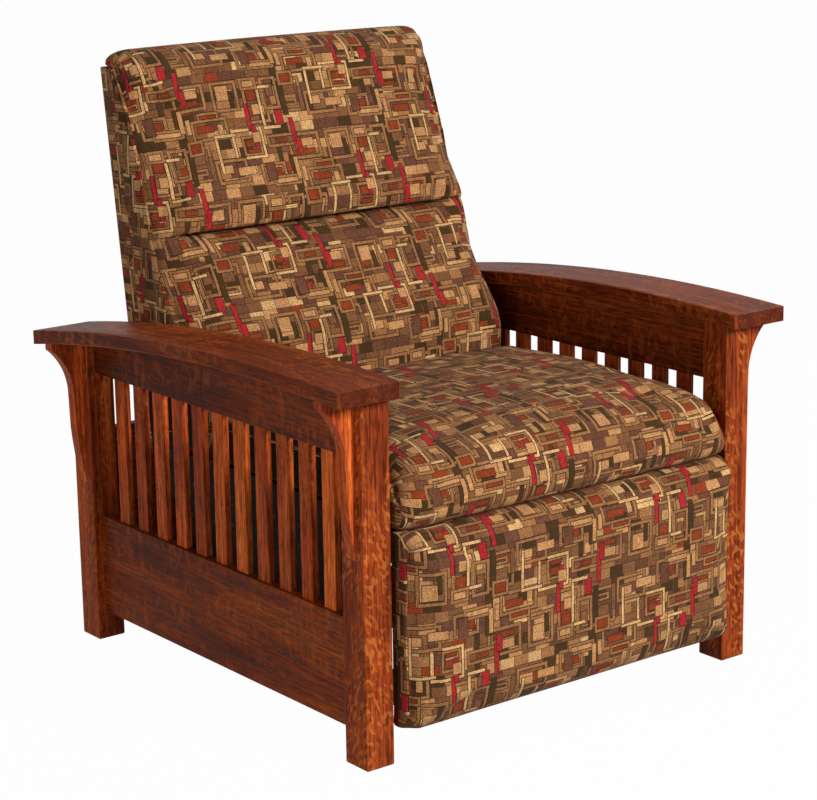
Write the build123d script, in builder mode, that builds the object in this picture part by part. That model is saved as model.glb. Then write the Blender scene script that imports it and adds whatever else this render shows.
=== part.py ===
from build123d import *
import os
from math import atan2, cos, degrees, hypot, radians, sin, sqrt, tan

os.makedirs("parts", exist_ok=True)

# A mission reclining armchair. The oak show frame has slatted sides, bowed arms and corbels.
# Inside it a seat hangs on four swing links and moves forward as the back reclines, and a
# padded footrest unfolds from under the seat on a bar linkage.
# Millimetres. +Z is up, the chair faces -Y, and the sitter's left side is +X. Lengths in this file
# are measured from the middle of the show frame. The finished pieces are moved back a little, so
# that the origin is on the floor under the middle of the whole chair with its footrest stowed.

# Oak show frame
width_over_posts = 800
depth_over_posts = 833
post_width = 52
post_depth = 55
post_edge = 2.5
post_foot_chamfer = 2
arm_width = 114
arm_overhang = 57
arm_end_overhang = 25
arm_thickness = 24
arm_front_height = 600
arm_rear_height = 549
arm_rise = 25.5
arm_corner = 4
arm_edge = 2
side_rail_thickness = 20
side_rail_edge = 1.5
lower_rail_bottom = 49
lower_rail_height = 174
upper_rail_rear_height = 48
slat_count = 11
slat_pitch = 59.5
slat_width = 30
slat_inset = 4
slat_thickness = 12
slat_edge = 1
corbel_thickness = 21
corbel_reach = 56
corbel_nose = 11
corbel_throat_drop = 86
corbel_leg = 17
corbel_leg_drop = 154
corbel_leg_end = 15
corbel_length = 250
corbel_hollow = 8.5
corbel_heel_bow = 1.6
stretcher_height = 51
stretcher_thickness = 22
stretcher_setback = 94.5
rear_rail_thickness = 20
rear_upper_rail_top = 371
rear_upper_rail_height = 146

# Seat frame, swing links and their steel
seat_deck_height = 370
seat_front = 352
seat_rear = 100
seat_rail_height = 60
seat_cross_rail_drop = 6
seat_rail_thickness = 38
seat_cross_rail_thickness = 22
seat_rail_outer = 300
seat_skirt_height = 190
seat_skirt_setback = 67
seat_skirt_slope = 23
seat_skirt_rear = 240
seat_skirt_step = 66
seat_lip_setback = 7
seat_lip_drop = 96
plate_thickness = 4
plate_outer = 334
plate_rear = 240
plate_margin = 15
plate_front_depth = 52
plate_corner = 10
swing_spacing = 350
swing_front_setback = 200
swing_base_drop = 180
swing_length = 90
swing_lean = 15
swing_width = 26
swing_gap = 2
base_bar_height = 44
base_bar_end = 45
pin_radius = 6
pin_fit = 0.05
pin_head_radius = 9
pin_head = 2
pin_shoulder_radius = 9
open_fit = 0.3
screw_radius = 2.5
screw_head_radius = 5
screw_head = 2
screw_length = 18
plate_screw_inset = 40
base_screw_spacing = 130

# Footrest linkage, from the seat plate inwards
bar_thickness = 4
bar_gap = 1
bar_width = 18
rivet_radius = 4
main_pivot_setback = 52
main_pivot_drop = 48
control_pivot_setback = 12
control_pivot_drop = 32.6
board_pivot_drop = 105
board_pivot_reach = 60
board_pivot_spacing = 46.5
knee_setback = 50
knee_clearance = 37.3
crossing_share = 0.25
elbow_reach = 50
tube_radius = 8
tube_wall = 1.5
tube_drop = 45

# Footrest
board_thickness = 12
board_half_width = 330
board_bottom = 60
board_top_drop = 13
board_gap = 48
board_edge = 3
footrest_half_width = 338
footrest_bottom = 55
footrest_top_drop = 8
footrest_depth = 50
footrest_crown = 8
footrest_round = 20
bracket_flange = 22
bracket_margin = 11

# Seat cushion
seat_half_width = 337
seat_cushion_front = 440
seat_cushion_height = 104
seat_crown = 13
seat_side_bow = 5
seat_low_round = 12
seat_high_round = 34
soft_gap = 0.3

# Reclining back
hinge_setback = 220
hinge_drop = 35
back_half_width = 328
back_bottom_drop = 20
back_top = 1018
back_rear = 340
back_rear_datum = 500
back_tilt = 7.1
back_frame_depth = 41
back_cover_thickness = 4
back_cover_round = 10
stile_width = 38
stile_outer = 300
back_rail_height = 55
back_rail_recess = 8
back_crown = 13
back_side_bow = 4
back_low_round = 5
back_high_round = 32
lower_cushion_depth = 210
lower_cushion_height = 372
head_cushion_depth = 116
head_cap_height = 28
crease_gap = 3
back_bracket_height = 470
back_bracket_arm = 24
back_bracket_inset = 8
back_boss_radius = 11

# Sinuous springs
wire_radius = 1.9
spring_turn = 11
spring_reach = 22
seat_spring_count = 5
seat_spring_pitch = 96
back_spring_count = 4
back_spring_pitch = 115
clip_width = 20
clip_metal = 1.2
clip_lip = 12
wire_fit = 0.05

# Shares, chosen by hand: how far each cushion section stands along the cushion, and how deep
# it is, where it starts, and how wide it is
seat_station_shares = (
    # along, bottom, top, width
    (0.0, 0.20, 0.53, 0.955),
    (0.006, 0.12, 0.66, 0.97),
    (0.02, 0.06, 0.78, 0.982),
    (0.045, 0.02, 0.88, 0.992),
    (0.085, 0.0, 0.945, 0.998),
    (0.14, 0.0, 0.98, 1.0),
    (0.24, 0.0, 1.0, 0.998),
    (0.5, 0.0, 0.99, 0.99),
    (0.7, 0.0, 0.94, 0.99),
    (0.84, 0.0, 0.87, 0.994),
    (0.93, 0.0, 0.77, 0.994),
    (0.98, 0.03, 0.66, 0.985),
    (1.0, 0.10, 0.54, 0.97),
)
footrest_station_shares = (
    # along, depth, width
    (0.0, 0.55, 0.965),
    (0.02, 0.78, 0.985),
    (0.07, 0.95, 0.997),
    (0.2, 1.0, 1.0),
    (0.5, 1.0, 0.994),
    (0.8, 1.0, 1.0),
    (0.93, 0.95, 0.997),
    (0.98, 0.78, 0.985),
    (1.0, 0.55, 0.965),
)
lower_station_shares = (
    # along, depth, width
    (0.0, 0.605, 0.96),
    (0.022, 0.705, 0.985),
    (0.067, 0.785, 0.995),
    (0.19, 0.85, 1.0),
    (0.3, 0.93, 1.0),
    (0.4, 0.985, 0.997),
    (0.565, 0.90, 0.993),
    (0.726, 0.75, 0.993),
    (0.887, 0.63, 0.996),
    (0.957, 0.575, 0.995),
    (0.989, 0.53, 0.985),
    (1.0, 0.47, 0.975),
)
head_station_shares = (
    # along, depth, width
    (0.0, 0.79, 0.97),
    (0.012, 0.89, 0.982),
    (0.035, 0.965, 0.99),
    (0.08, 1.0, 0.995),
    (0.14, 0.97, 0.996),
    (0.28, 0.87, 0.994),
    (0.55, 0.70, 0.993),
    (0.81, 0.545, 0.996),
    (1.0, 0.465, 0.997),
)
head_cap_shares = (
    # along, front, rear, width
    (0.0, 0.46, 1.0, 0.997),
    (0.35, 0.40, 0.98, 0.99),
    (0.75, 0.285, 0.88, 0.965),
    (1.0, 0.10, 0.70, 0.925),
)
screw_row_shares = (0.12, 0.5, 0.88)
back_screw_shares = (0.125, 0.42, 0.71)

# Worked out from the values above
sides = {"left": 1, "right": -1}
ends = {"front": -1, "rear": 1}
upper_rail_bottom = arm_rear_height - arm_thickness - upper_rail_rear_height
swing_base_height = seat_deck_height - swing_base_drop
board_pivot_height = seat_deck_height - board_pivot_drop
knee_height = lower_rail_bottom + stretcher_height + knee_clearance
board_height = seat_deck_height - board_top_drop - board_bottom
footrest_height = seat_deck_height - footrest_top_drop - footrest_bottom
hinge_height = seat_deck_height - hinge_drop
back_bottom = seat_deck_height - back_bottom_drop
quarter_bow = 1 - cos(radians(45))
post_outer_x = width_over_posts / 2
post_inner_x = post_outer_x - post_width
post_x = post_outer_x - post_width / 2
post_y = depth_over_posts / 2 - post_depth / 2
rail_length = depth_over_posts - 2 * post_depth
lower_rail_top = lower_rail_bottom + lower_rail_height
side_rail_inner = post_x - side_rail_thickness / 2
arm_outer_x = post_outer_x + arm_overhang
arm_inner_x = arm_outer_x - arm_width
arm_half_length = depth_over_posts / 2 + arm_end_overhang

# The bow of the arm's top is one arc, higher at the front
arm_fall = arm_front_height - arm_rear_height
arm_chord = hypot(2 * arm_half_length, arm_fall)
arm_radius = (arm_chord**2 / 4 + arm_rise**2) / (2 * arm_rise)
arm_slope = atan2(arm_fall, 2 * arm_half_length)
bow_y = -(arm_radius - arm_rise) * sin(arm_slope)
bow_z = (arm_front_height + arm_rear_height) / 2 - (arm_radius - arm_rise) * cos(arm_slope)


def arm_underside(y):
    """Height of the arm's underside above the floor, y along the chair."""
    return bow_z + sqrt(arm_radius**2 - (y - bow_y) ** 2) - arm_thickness


def outward(side, y):
    """A plane across the chair at y, its local x pointing out of the given side."""
    return Plane(origin=(0, y, 0), x_dir=(side, 0, 0), z_dir=(0, -side, 0))


def from_point(start, distance, angle):
    """The point at a distance from start, angle in degrees from straight up towards the rear."""
    return (start[0] + distance * sin(radians(angle)), start[1] + distance * cos(radians(angle)))


def between(start, end, share):
    """The point a share of the way from start to end."""
    return (start[0] + share * (end[0] - start[0]), start[1] + share * (end[1] - start[1]))


def save(builder, name):
    """Move a finished piece to the chair's origin, label it and write it."""
    piece = builder.part.moved(Location((0, frame_setback, 0)))
    piece.label = name
    export_step(piece, f"parts/{name}.step")


# Steel layers at each side, each given as its inner and outer distance from the middle
plate_layer = (plate_outer - plate_thickness, plate_outer)
swing_layer = (plate_outer + swing_gap, plate_outer + swing_gap + bar_thickness)
base_bar_layer = (side_rail_inner - bar_thickness, side_rail_inner)
main_layer = (plate_layer[0] - bar_gap - bar_thickness, plate_layer[0] - bar_gap)
outer_layer = (main_layer[0] - bar_gap - bar_thickness, main_layer[0] - bar_gap)
control_layer = (outer_layer[0] - bar_gap - bar_thickness, outer_layer[0] - bar_gap)
brace_layer = (control_layer[0] - bar_gap - bar_thickness, control_layer[0] - bar_gap)
bracket_layer = (brace_layer[0] - bar_gap - bar_thickness, brace_layer[0] - bar_gap)

# Pivots as (y, z) with the footrest stowed and the back upright
deck_bottom = seat_deck_height - plate_thickness
board_rear = -seat_front - board_gap
board_front = board_rear - board_thickness
frame_setback = (footrest_depth + soft_gap - board_front - arm_half_length) / 2
main_pivot = (-seat_front + main_pivot_setback, seat_deck_height - main_pivot_drop)
control_pivot = (-seat_front + control_pivot_setback, seat_deck_height - control_pivot_drop)
board_pivot = (board_rear + board_pivot_reach, board_pivot_height)
heel_pivot = (board_pivot[0], board_pivot_height - board_pivot_spacing)
knee = (board_pivot[0] + knee_setback, knee_height)
crossing = between(knee, board_pivot, crossing_share)
control_length = hypot(crossing[0] - control_pivot[0], crossing[1] - control_pivot[1])
elbow = between(control_pivot, crossing, 1 + elbow_reach / control_length)
tube_centre = between(control_pivot, crossing, tube_drop / control_length)
swing_front_base = (-swing_front_setback, swing_base_height)
swing_rear_base = (swing_spacing - swing_front_setback, swing_base_height)
swing_front_top = from_point(swing_front_base, swing_length, swing_lean)
swing_rear_top = from_point(swing_rear_base, swing_length, swing_lean)
back_hinge = (hinge_setback, hinge_height)


# Show frame
# Everything above the arms' underside, taken out of what stands under the arms
with BuildPart() as arm_space:
    with BuildSketch(Plane.YZ):
        with BuildLine():
            under_front = (-arm_half_length, arm_front_height - arm_thickness)
            under_rear = (arm_half_length, arm_rear_height - arm_thickness)
            SagittaArc(under_front, under_rear, arm_rise)
            Polyline(
                under_rear,
                (arm_half_length, back_top),
                (-arm_half_length, back_top),
                under_front,
            )
        make_face()
    extrude(amount=arm_outer_x, both=True)


def make_arm(side, name):
    """A bowed arm, sawn to one arc, with its corners and edges eased."""
    with BuildPart() as arm:
        with BuildSketch(Plane.YZ.offset(side * (arm_inner_x + arm_width / 2))):
            with BuildLine():
                top_front = (-arm_half_length, arm_front_height)
                top_rear = (arm_half_length, arm_rear_height)
                SagittaArc(top_front, top_rear, arm_rise)
                Line(top_rear, under_rear)
                SagittaArc(under_rear, under_front, -arm_rise)
                Line(under_front, top_front)
            make_face()
        extrude(amount=arm_width / 2, both=True)
        chamfer(arm.edges().filter_by(Axis.Z), arm_corner)
        fillet(arm.edges().filter_by(GeomType.CIRCLE), arm_edge)
    save(arm, name)


def make_post(side, end, name):
    """A square post, cut off under the arm, with its foot chamfered."""
    with BuildPart() as post:
        with BuildSketch(Plane.XY):
            with Locations((side * post_x, end * post_y)):
                Rectangle(post_width, post_depth)
        extrude(amount=arm_front_height + arm_rise)
        fillet(post.edges().filter_by(Axis.Z), post_edge)
        add(arm_space.part, mode=Mode.SUBTRACT)
        chamfer(post.faces().sort_by(Axis.Z)[0].edges(), post_foot_chamfer)
    save(post, name)


def make_upper_rail(side, name):
    """The rail under the arm, its top following the bow."""
    with BuildPart() as rail:
        with BuildSketch(Plane.XY.offset(upper_rail_bottom)):
            with Locations((side * post_x, 0)):
                Rectangle(side_rail_thickness, rail_length)
        extrude(amount=arm_front_height + arm_rise - upper_rail_bottom)
        add(arm_space.part, mode=Mode.SUBTRACT)
        fillet(rail.faces().sort_by(Axis.Z)[0].edges().filter_by(Axis.Y), side_rail_edge)
    save(rail, name)


def make_lower_rail(side, name):
    """The deep lower side rail."""
    with BuildPart() as rail:
        with BuildSketch(Plane.XY.offset(lower_rail_bottom)):
            with Locations((side * post_x, 0)):
                Rectangle(side_rail_thickness, rail_length)
        extrude(amount=lower_rail_height)
        fillet(rail.edges().filter_by(Axis.Y), side_rail_edge)
    save(rail, name)


def make_slats(side, name):
    """The upright slats between the two side rails."""
    with BuildPart() as slats:
        with BuildSketch(Plane.XY.offset(lower_rail_top)):
            with Locations((side * (post_x - slat_inset), 0)):
                with GridLocations(0, slat_pitch, 1, slat_count):
                    Rectangle(slat_thickness, slat_width)
        extrude(amount=upper_rail_bottom - lower_rail_top)
        fillet(slats.edges().filter_by(Axis.Z), slat_edge)
    save(slats, name)


def make_corbel(side, end, name):
    """A sawn bracket on the post's outer face, hollowed under the arm and tapering to its foot."""
    head = arm_underside(end * post_y)
    nose_bottom = (post_outer_x + corbel_reach, head - corbel_nose)
    throat = (post_outer_x + corbel_leg, head - corbel_throat_drop)
    leg_end = (post_outer_x + corbel_leg_end, head - corbel_leg_drop)
    foot = (post_outer_x, head - corbel_length)
    with BuildPart() as corbel:
        with BuildSketch(outward(side, end * post_y)):
            with BuildLine():
                Polyline(
                    foot,
                    (post_outer_x, head + arm_thickness / 2),
                    (post_outer_x + corbel_reach, head + arm_thickness / 2),
                    nose_bottom,
                )
                SagittaArc(nose_bottom, throat, -corbel_hollow)
                Line(throat, leg_end)
                SagittaArc(leg_end, foot, corbel_heel_bow)
            make_face()
        extrude(amount=corbel_thickness / 2, both=True)
        add(arm_space.part, mode=Mode.SUBTRACT)
    save(corbel, name)


for side_name, side in sides.items():
    make_arm(side, f"arm_{side_name}")
    make_upper_rail(side, f"upper_side_rail_{side_name}")
    make_lower_rail(side, f"lower_side_rail_{side_name}")
    make_slats(side, f"side_slats_{side_name}")
    for end_name, end in ends.items():
        make_post(side, end, f"{end_name}_post_{side_name}")
        make_corbel(side, end, f"{end_name}_corbel_{side_name}")


def make_cross_rail(name, half_length, front, thickness, bottom, height):
    """A plain rail across the chair, its long edges eased."""
    with BuildPart() as rail:
        with BuildSketch(Plane.XY.offset(bottom)):
            with Locations((0, front + thickness / 2)):
                Rectangle(2 * half_length, thickness)
        extrude(amount=height)
        fillet(rail.edges().filter_by(Axis.X), side_rail_edge)
    save(rail, name)


stretcher_front = -depth_over_posts / 2 + stretcher_setback
rear_rail_front = post_y - rear_rail_thickness / 2
make_cross_rail(
    "front_stretcher",
    side_rail_inner,
    stretcher_front,
    stretcher_thickness,
    lower_rail_bottom,
    stretcher_height,
)
make_cross_rail(
    "rear_lower_rail",
    post_inner_x,
    rear_rail_front,
    rear_rail_thickness,
    lower_rail_bottom,
    lower_rail_height,
)
make_cross_rail(
    "rear_upper_rail",
    post_inner_x,
    rear_rail_front,
    rear_rail_thickness,
    rear_upper_rail_top - rear_upper_rail_height,
    rear_upper_rail_height,
)


# Steel of the mechanism
def layer_plane(side, layer):
    """The plane through the middle of a steel layer, local x along the chair and y up."""
    return Plane.YZ.offset(side * (layer[0] + layer[1]) / 2)


def bar_outline(points, width, holes):
    """A flat bar with round ends from the first pivot to the last, and a hole at each."""
    first, last = points[0], points[-1]
    length = hypot(last[0] - first[0], last[1] - first[1])
    angle = degrees(atan2(last[1] - first[1], last[0] - first[0]))
    with Locations(between(first, last, 1 / 2)):
        SlotCenterToCenter(length, width, rotation=angle)
    for point, radius in zip(points, holes):
        with Locations(point):
            Circle(radius, mode=Mode.SUBTRACT)


def make_bars(name, layer, width, bars):
    """The bars of one layer at both sides, each given as its pivots and their hole radii."""
    with BuildPart() as pair:
        for side in sides.values():
            for points, holes in bars:
                with BuildSketch(layer_plane(side, layer)):
                    bar_outline(points, width, holes)
                extrude(amount=(layer[1] - layer[0]) / 2, both=True)
    save(pair, name)


def make_pins(name, pins):
    """Pins along X at both sides, each a row of lengths: centre, radius, from x, to x."""
    with BuildPart() as group:
        for side in sides.values():
            for centre, stages in pins:
                for radius, start, end in stages:
                    with BuildSketch(Plane.YZ.offset(side * start)):
                        with Locations(centre):
                            Circle(radius)
                    extrude(amount=side * (end - start))
    save(group, name)


pin_hole = pin_radius + pin_fit
open_pin_hole = pin_radius + open_fit
rivet_hole = rivet_radius + pin_fit
base_screw_y = [
    swing_front_base[0] + base_screw_spacing / 2 + place * base_screw_spacing for place in range(2)
] + [swing_rear_base[0] - base_screw_spacing / 2]


def make_base_bar(side, name):
    """The steel bar on the lower rail's inner face that carries the swing links."""
    low = swing_front_base[0] - base_bar_end
    high = swing_rear_base[0] + base_bar_end
    with BuildPart() as bar:
        with BuildSketch(layer_plane(side, base_bar_layer)):
            with Locations(((low + high) / 2, swing_base_height)):
                RectangleRounded(high - low, base_bar_height, plate_corner)
            with Locations(swing_front_base, swing_rear_base):
                Circle(pin_radius, mode=Mode.SUBTRACT)
            with Locations(*[(y, swing_base_height) for y in base_screw_y]):
                Circle(screw_radius, mode=Mode.SUBTRACT)
        extrude(amount=bar_thickness / 2, both=True)
    save(bar, name)


for side_name, side in sides.items():
    make_base_bar(side, f"swing_base_bar_{side_name}")

shoulder_start = swing_layer[1] + pin_fit
base_stages = (
    (pin_head_radius, swing_layer[0] - pin_head, swing_layer[0]),
    (pin_radius, swing_layer[0], shoulder_start),
    (pin_shoulder_radius, shoulder_start, base_bar_layer[0]),
    (pin_radius, base_bar_layer[0], base_bar_layer[1]),
)
make_pins("base_pivot_pins", ((swing_front_base, base_stages), (swing_rear_base, base_stages)))
base_screw_stages = (
    (screw_head_radius, base_bar_layer[0] - screw_head, base_bar_layer[0]),
    (screw_radius, base_bar_layer[0], base_bar_layer[1]),
)
make_pins(
    "base_bar_screws", [((y, swing_base_height), base_screw_stages) for y in base_screw_y]
)
make_bars(
    "front_swing_links",
    swing_layer,
    swing_width,
    [((swing_front_base, swing_front_top), (pin_hole, pin_hole))],
)
make_bars(
    "rear_swing_links",
    swing_layer,
    swing_width,
    [((swing_rear_base, swing_rear_top), (pin_hole, open_pin_hole))],
)


# Seat frame
flange_inner = seat_rail_outer - seat_rail_thickness
seat_rail_bottom = deck_bottom - seat_rail_height
seat_rail_x = seat_rail_outer - seat_rail_thickness / 2
seat_length = seat_front + seat_rear
plate_screw_y = [-seat_front + plate_screw_inset, seat_rear - plate_screw_inset]


def make_seat_plate(side, name):
    """A steel plate beside the seat, its top flange turned in over the seat's wooden rail."""
    lower_edge = swing_front_top[1] - plate_margin
    with BuildPart() as plate:
        with BuildSketch(layer_plane(side, plate_layer)):
            with BuildLine():
                Polyline(
                    (-seat_front, seat_deck_height),
                    (-seat_front, seat_deck_height - plate_front_depth),
                    (main_pivot[0] + plate_margin, main_pivot[1] - plate_margin),
                    (swing_front_top[0] - plate_margin, lower_edge),
                    (swing_rear_top[0] + plate_margin, lower_edge),
                    (plate_rear, back_hinge[1] - plate_margin),
                    (plate_rear, deck_bottom),
                    (seat_rear + plate_margin, deck_bottom),
                    (seat_rear, seat_deck_height),
                    close=True,
                )
            make_face()
            with Locations(main_pivot, control_pivot, swing_front_top, swing_rear_top, back_hinge):
                Circle(pin_radius, mode=Mode.SUBTRACT)
        extrude(amount=plate_thickness / 2, both=True)
        with BuildSketch(Plane.XY.offset(deck_bottom)):
            with Locations((side * (flange_inner + plate_outer) / 2, (seat_rear - seat_front) / 2)):
                Rectangle(plate_outer - flange_inner, seat_length)
            with Locations(*[(side * seat_rail_x, y) for y in plate_screw_y]):
                Circle(screw_radius, mode=Mode.SUBTRACT)
        extrude(amount=plate_thickness)
        with Locations(*[(side * seat_rail_x, y, seat_deck_height) for y in plate_screw_y]):
            CounterSinkHole(screw_radius, screw_head_radius, plate_thickness)
    save(plate, name)


def make_seat_rail(side, name):
    """The wooden side board of the seat: a rail under the steel flange that is cut deeper below
    the footrest's tube and is carried on to the back's hinge."""
    notch_rear = -seat_front + seat_skirt_setback
    lip_front = -seat_front + seat_lip_setback
    lip_top = deck_bottom - seat_lip_drop
    skirt_bottom = deck_bottom - seat_skirt_height
    with BuildPart() as rail:
        with BuildSketch(Plane.YZ.offset(side * seat_rail_x)):
            Polygon(
                (-seat_front, deck_bottom),
                (-seat_front, seat_rail_bottom),
                (notch_rear, seat_rail_bottom),
                (notch_rear, lip_top),
                (lip_front, lip_top),
                (lip_front, skirt_bottom + seat_skirt_slope),
                (lip_front + seat_skirt_slope, skirt_bottom),
                (seat_skirt_rear, skirt_bottom),
                (seat_skirt_rear, deck_bottom - seat_skirt_step),
                (seat_rear, deck_bottom - seat_skirt_step),
                (seat_rear, deck_bottom),
                align=None,
            )
        extrude(amount=seat_rail_thickness / 2, both=True)
        fillet(rail.edges().filter_by(Axis.Y), side_rail_edge)
        with Locations(*[(side * seat_rail_x, y, deck_bottom) for y in plate_screw_y]):
            Hole(screw_radius, screw_length)
    save(rail, name)


for side_name, side in sides.items():
    make_seat_plate(side, f"seat_plate_{side_name}")
    make_seat_rail(side, f"seat_side_rail_{side_name}")

cross_rail_top = deck_bottom - seat_cross_rail_drop
for rail_name, rail_front in (
    ("seat_front_rail", -seat_front),
    ("seat_rear_rail", seat_rear - seat_cross_rail_thickness),
):
    make_cross_rail(
        rail_name,
        flange_inner,
        rail_front,
        seat_cross_rail_thickness,
        seat_rail_bottom,
        cross_rail_top - seat_rail_bottom,
    )

with BuildPart() as seat_plate_screws:
    for side in sides.values():
        for y in plate_screw_y:
            with BuildSketch(Plane.XZ.offset(-y)):
                with BuildLine():
                    Polyline(
                        (side * seat_rail_x, seat_deck_height),
                        (side * (seat_rail_x + screw_head_radius), seat_deck_height),
                        (
                            side * (seat_rail_x + screw_radius),
                            seat_deck_height - screw_head_radius + screw_radius,
                        ),
                        (side * (seat_rail_x + screw_radius), deck_bottom - screw_length),
                        (side * seat_rail_x, deck_bottom - screw_length),
                        close=True,
                    )
                make_face()
            revolve(axis=Axis((side * seat_rail_x, y, 0), (0, 0, 1)))
save(seat_plate_screws, "seat_plate_screws")

swing_pin_stages = (
    (pin_radius, plate_layer[0], plate_layer[1]),
    (pin_shoulder_radius, plate_layer[1], swing_layer[0] - pin_fit),
    (pin_radius, swing_layer[0] - pin_fit, swing_layer[1] + pin_fit),
    (pin_head_radius, swing_layer[1] + pin_fit, swing_layer[1] + pin_fit + pin_head),
)
seat_pins = (
    (swing_front_top, swing_pin_stages),
    (swing_rear_top, swing_pin_stages),
    (
        main_pivot,
        (
            (pin_head_radius, plate_layer[1], plate_layer[1] + pin_head),
            (pin_radius, main_layer[0], plate_layer[1]),
        ),
    ),
    (
        control_pivot,
        (
            (pin_head_radius, plate_layer[1], plate_layer[1] + pin_head),
            (pin_radius, control_layer[0], plate_layer[1]),
        ),
    ),
    (
        back_hinge,
        (
            (pin_head_radius, plate_layer[1], plate_layer[1] + pin_head),
            (pin_radius, stile_outer, plate_layer[1]),
        ),
    ),
)
make_pins("seat_pivot_pins", seat_pins)


# Sinuous springs: legs of wire joined by half turns, from one rail to the other
def spring_path(start, length):
    """A zigzag along local y from start: straight legs across, joined by half turns."""
    turns = max(2, round(length / (2 * spring_turn)))
    step = length / turns
    leg = spring_reach - step / 2
    x, y = start
    hand = 1
    Line((x - leg, y), (x + leg, y))
    for turn in range(turns):
        here = (x + hand * leg, y)
        there = (x + hand * leg, y + step)
        middle = (x + hand * (leg + step / 2), y + step / 2)
        ThreePointArc(here, middle, there)
        y += step
        Line(there, (x - hand * leg, y))
        hand = -hand


def make_springs(name, plane, length, count, pitch):
    """A row of sinuous springs lying in a plane."""
    with BuildPart() as springs:
        for number in range(count):
            x = (number - (count - 1) / 2) * pitch
            with BuildLine(plane) as wire:
                spring_path((x, 0), length)
            with BuildSketch(Plane(origin=wire.line @ 0, z_dir=wire.line % 0)):
                Circle(wire_radius)
            sweep(path=wire.wires()[0])
    save(springs, name)


def make_clips(name, plane, length, count, pitch):
    """Bent clips that hold the first and last leg of each spring to the rails."""
    low = -wire_radius - wire_fit
    high = wire_radius + wire_fit
    with BuildPart() as clips:
        for number in range(count):
            x = (number - (count - 1) / 2) * pitch
            for place, hand in ((0, 1), (length, -1)):
                middle = plane.from_local_coords((x, place, 0))
                side_plane = Plane(origin=middle, x_dir=plane.y_dir * hand, z_dir=plane.x_dir * hand)
                with BuildSketch(side_plane):
                    with BuildLine():
                        Polyline(
                            (clip_lip / 2, low - clip_metal),
                            (low - clip_metal, low - clip_metal),
                            (low - clip_metal, high + clip_metal),
                            (clip_lip / 2, high + clip_metal),
                            (clip_lip / 2, high),
                            (low, high),
                            (low, low),
                            (clip_lip / 2, low),
                            close=True,
                        )
                    make_face()
                extrude(amount=clip_width / 2, both=True)
    save(clips, name)


wire_height = clip_metal + wire_radius + wire_fit
seat_spring_length = seat_length - seat_cross_rail_thickness
seat_spring_plane = Plane(
    origin=(0, -seat_front + seat_cross_rail_thickness / 2, cross_rail_top + wire_height)
)
make_springs(
    "seat_springs", seat_spring_plane, seat_spring_length, seat_spring_count, seat_spring_pitch
)
make_clips(
    "seat_spring_clips", seat_spring_plane, seat_spring_length, seat_spring_count, seat_spring_pitch
)


# Cushions: each is lofted through closed sections of a flat side, round corners, bowed
# sides and a crown
def cushion_section(plane, half_width, low, high, crown, side_bow, low_round, high_round):
    """One section: local x across the cushion, flat at low, its corners at high."""
    side = half_width - side_bow
    with BuildSketch(plane) as section:
        with BuildLine():
            Line((-side + low_round, low), (side - low_round, low))
            SagittaArc((side - low_round, low), (side, low + low_round), -quarter_bow * low_round)
            SagittaArc((side, low + low_round), (side, high - high_round), -side_bow)
            SagittaArc((side, high - high_round), (side - high_round, high), -quarter_bow * high_round)
            SagittaArc((side - high_round, high), (-side + high_round, high), -crown)
            SagittaArc(
                (-side + high_round, high), (-side, high - high_round), -quarter_bow * high_round
            )
            SagittaArc((-side, high - high_round), (-side, low + low_round), -side_bow)
            SagittaArc((-side, low + low_round), (-side + low_round, low), -quarter_bow * low_round)
        make_face()
    return section.sketch


def corner_round(wanted, low, high, other):
    """A corner radius that leaves the side of the section at least a third of its height."""
    return min(wanted, (high - low) * 2 / 3 - other)


seat_cushion_bottom = seat_deck_height + soft_gap
seat_cushion_length = seat_cushion_front + seat_rear
with BuildPart() as seat_cushion:
    for along, bottom, top, width in seat_station_shares:
        y = -seat_cushion_front + along * seat_cushion_length
        low = seat_cushion_bottom + bottom * seat_cushion_height
        high = seat_cushion_bottom + top * seat_cushion_height
        section = cushion_section(
            Plane(origin=(0, y, 0), x_dir=(1, 0, 0), z_dir=(0, -1, 0)),
            width * seat_half_width,
            low,
            high,
            seat_crown,
            seat_side_bow,
            corner_round(seat_low_round, low, high, seat_low_round / 2),
            corner_round(seat_high_round, low, high, seat_low_round),
        )
        add(section)
    loft(ruled=True)
save(seat_cushion, "seat_cushion")


# Footrest
def facing_front(y, z):
    """A level plane at height z whose local y points to the chair's front from y."""
    return Plane(origin=(0, y, z), x_dir=(1, 0, 0), z_dir=(0, 0, -1))


with BuildPart() as footrest_board:
    with BuildSketch(Plane.XZ.offset(-board_rear)):
        with Locations((0, board_bottom + board_height / 2)):
            Rectangle(2 * board_half_width, board_height)
    extrude(amount=board_thickness)
    fillet(footrest_board.edges().filter_by(Axis.Y), board_edge)
save(footrest_board, "footrest_board")

with BuildPart() as footrest_pad:
    for along, depth, width in footrest_station_shares:
        high = depth * footrest_depth - footrest_crown
        section = cushion_section(
            facing_front(board_front - soft_gap, footrest_bottom + along * footrest_height),
            width * footrest_half_width,
            0,
            high,
            footrest_crown,
            seat_side_bow,
            corner_round(back_low_round, 0, high, back_low_round),
            corner_round(footrest_round, 0, high, back_low_round),
        )
        add(section)
    loft(ruled=True)
save(footrest_pad, "footrest_pad")

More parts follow.
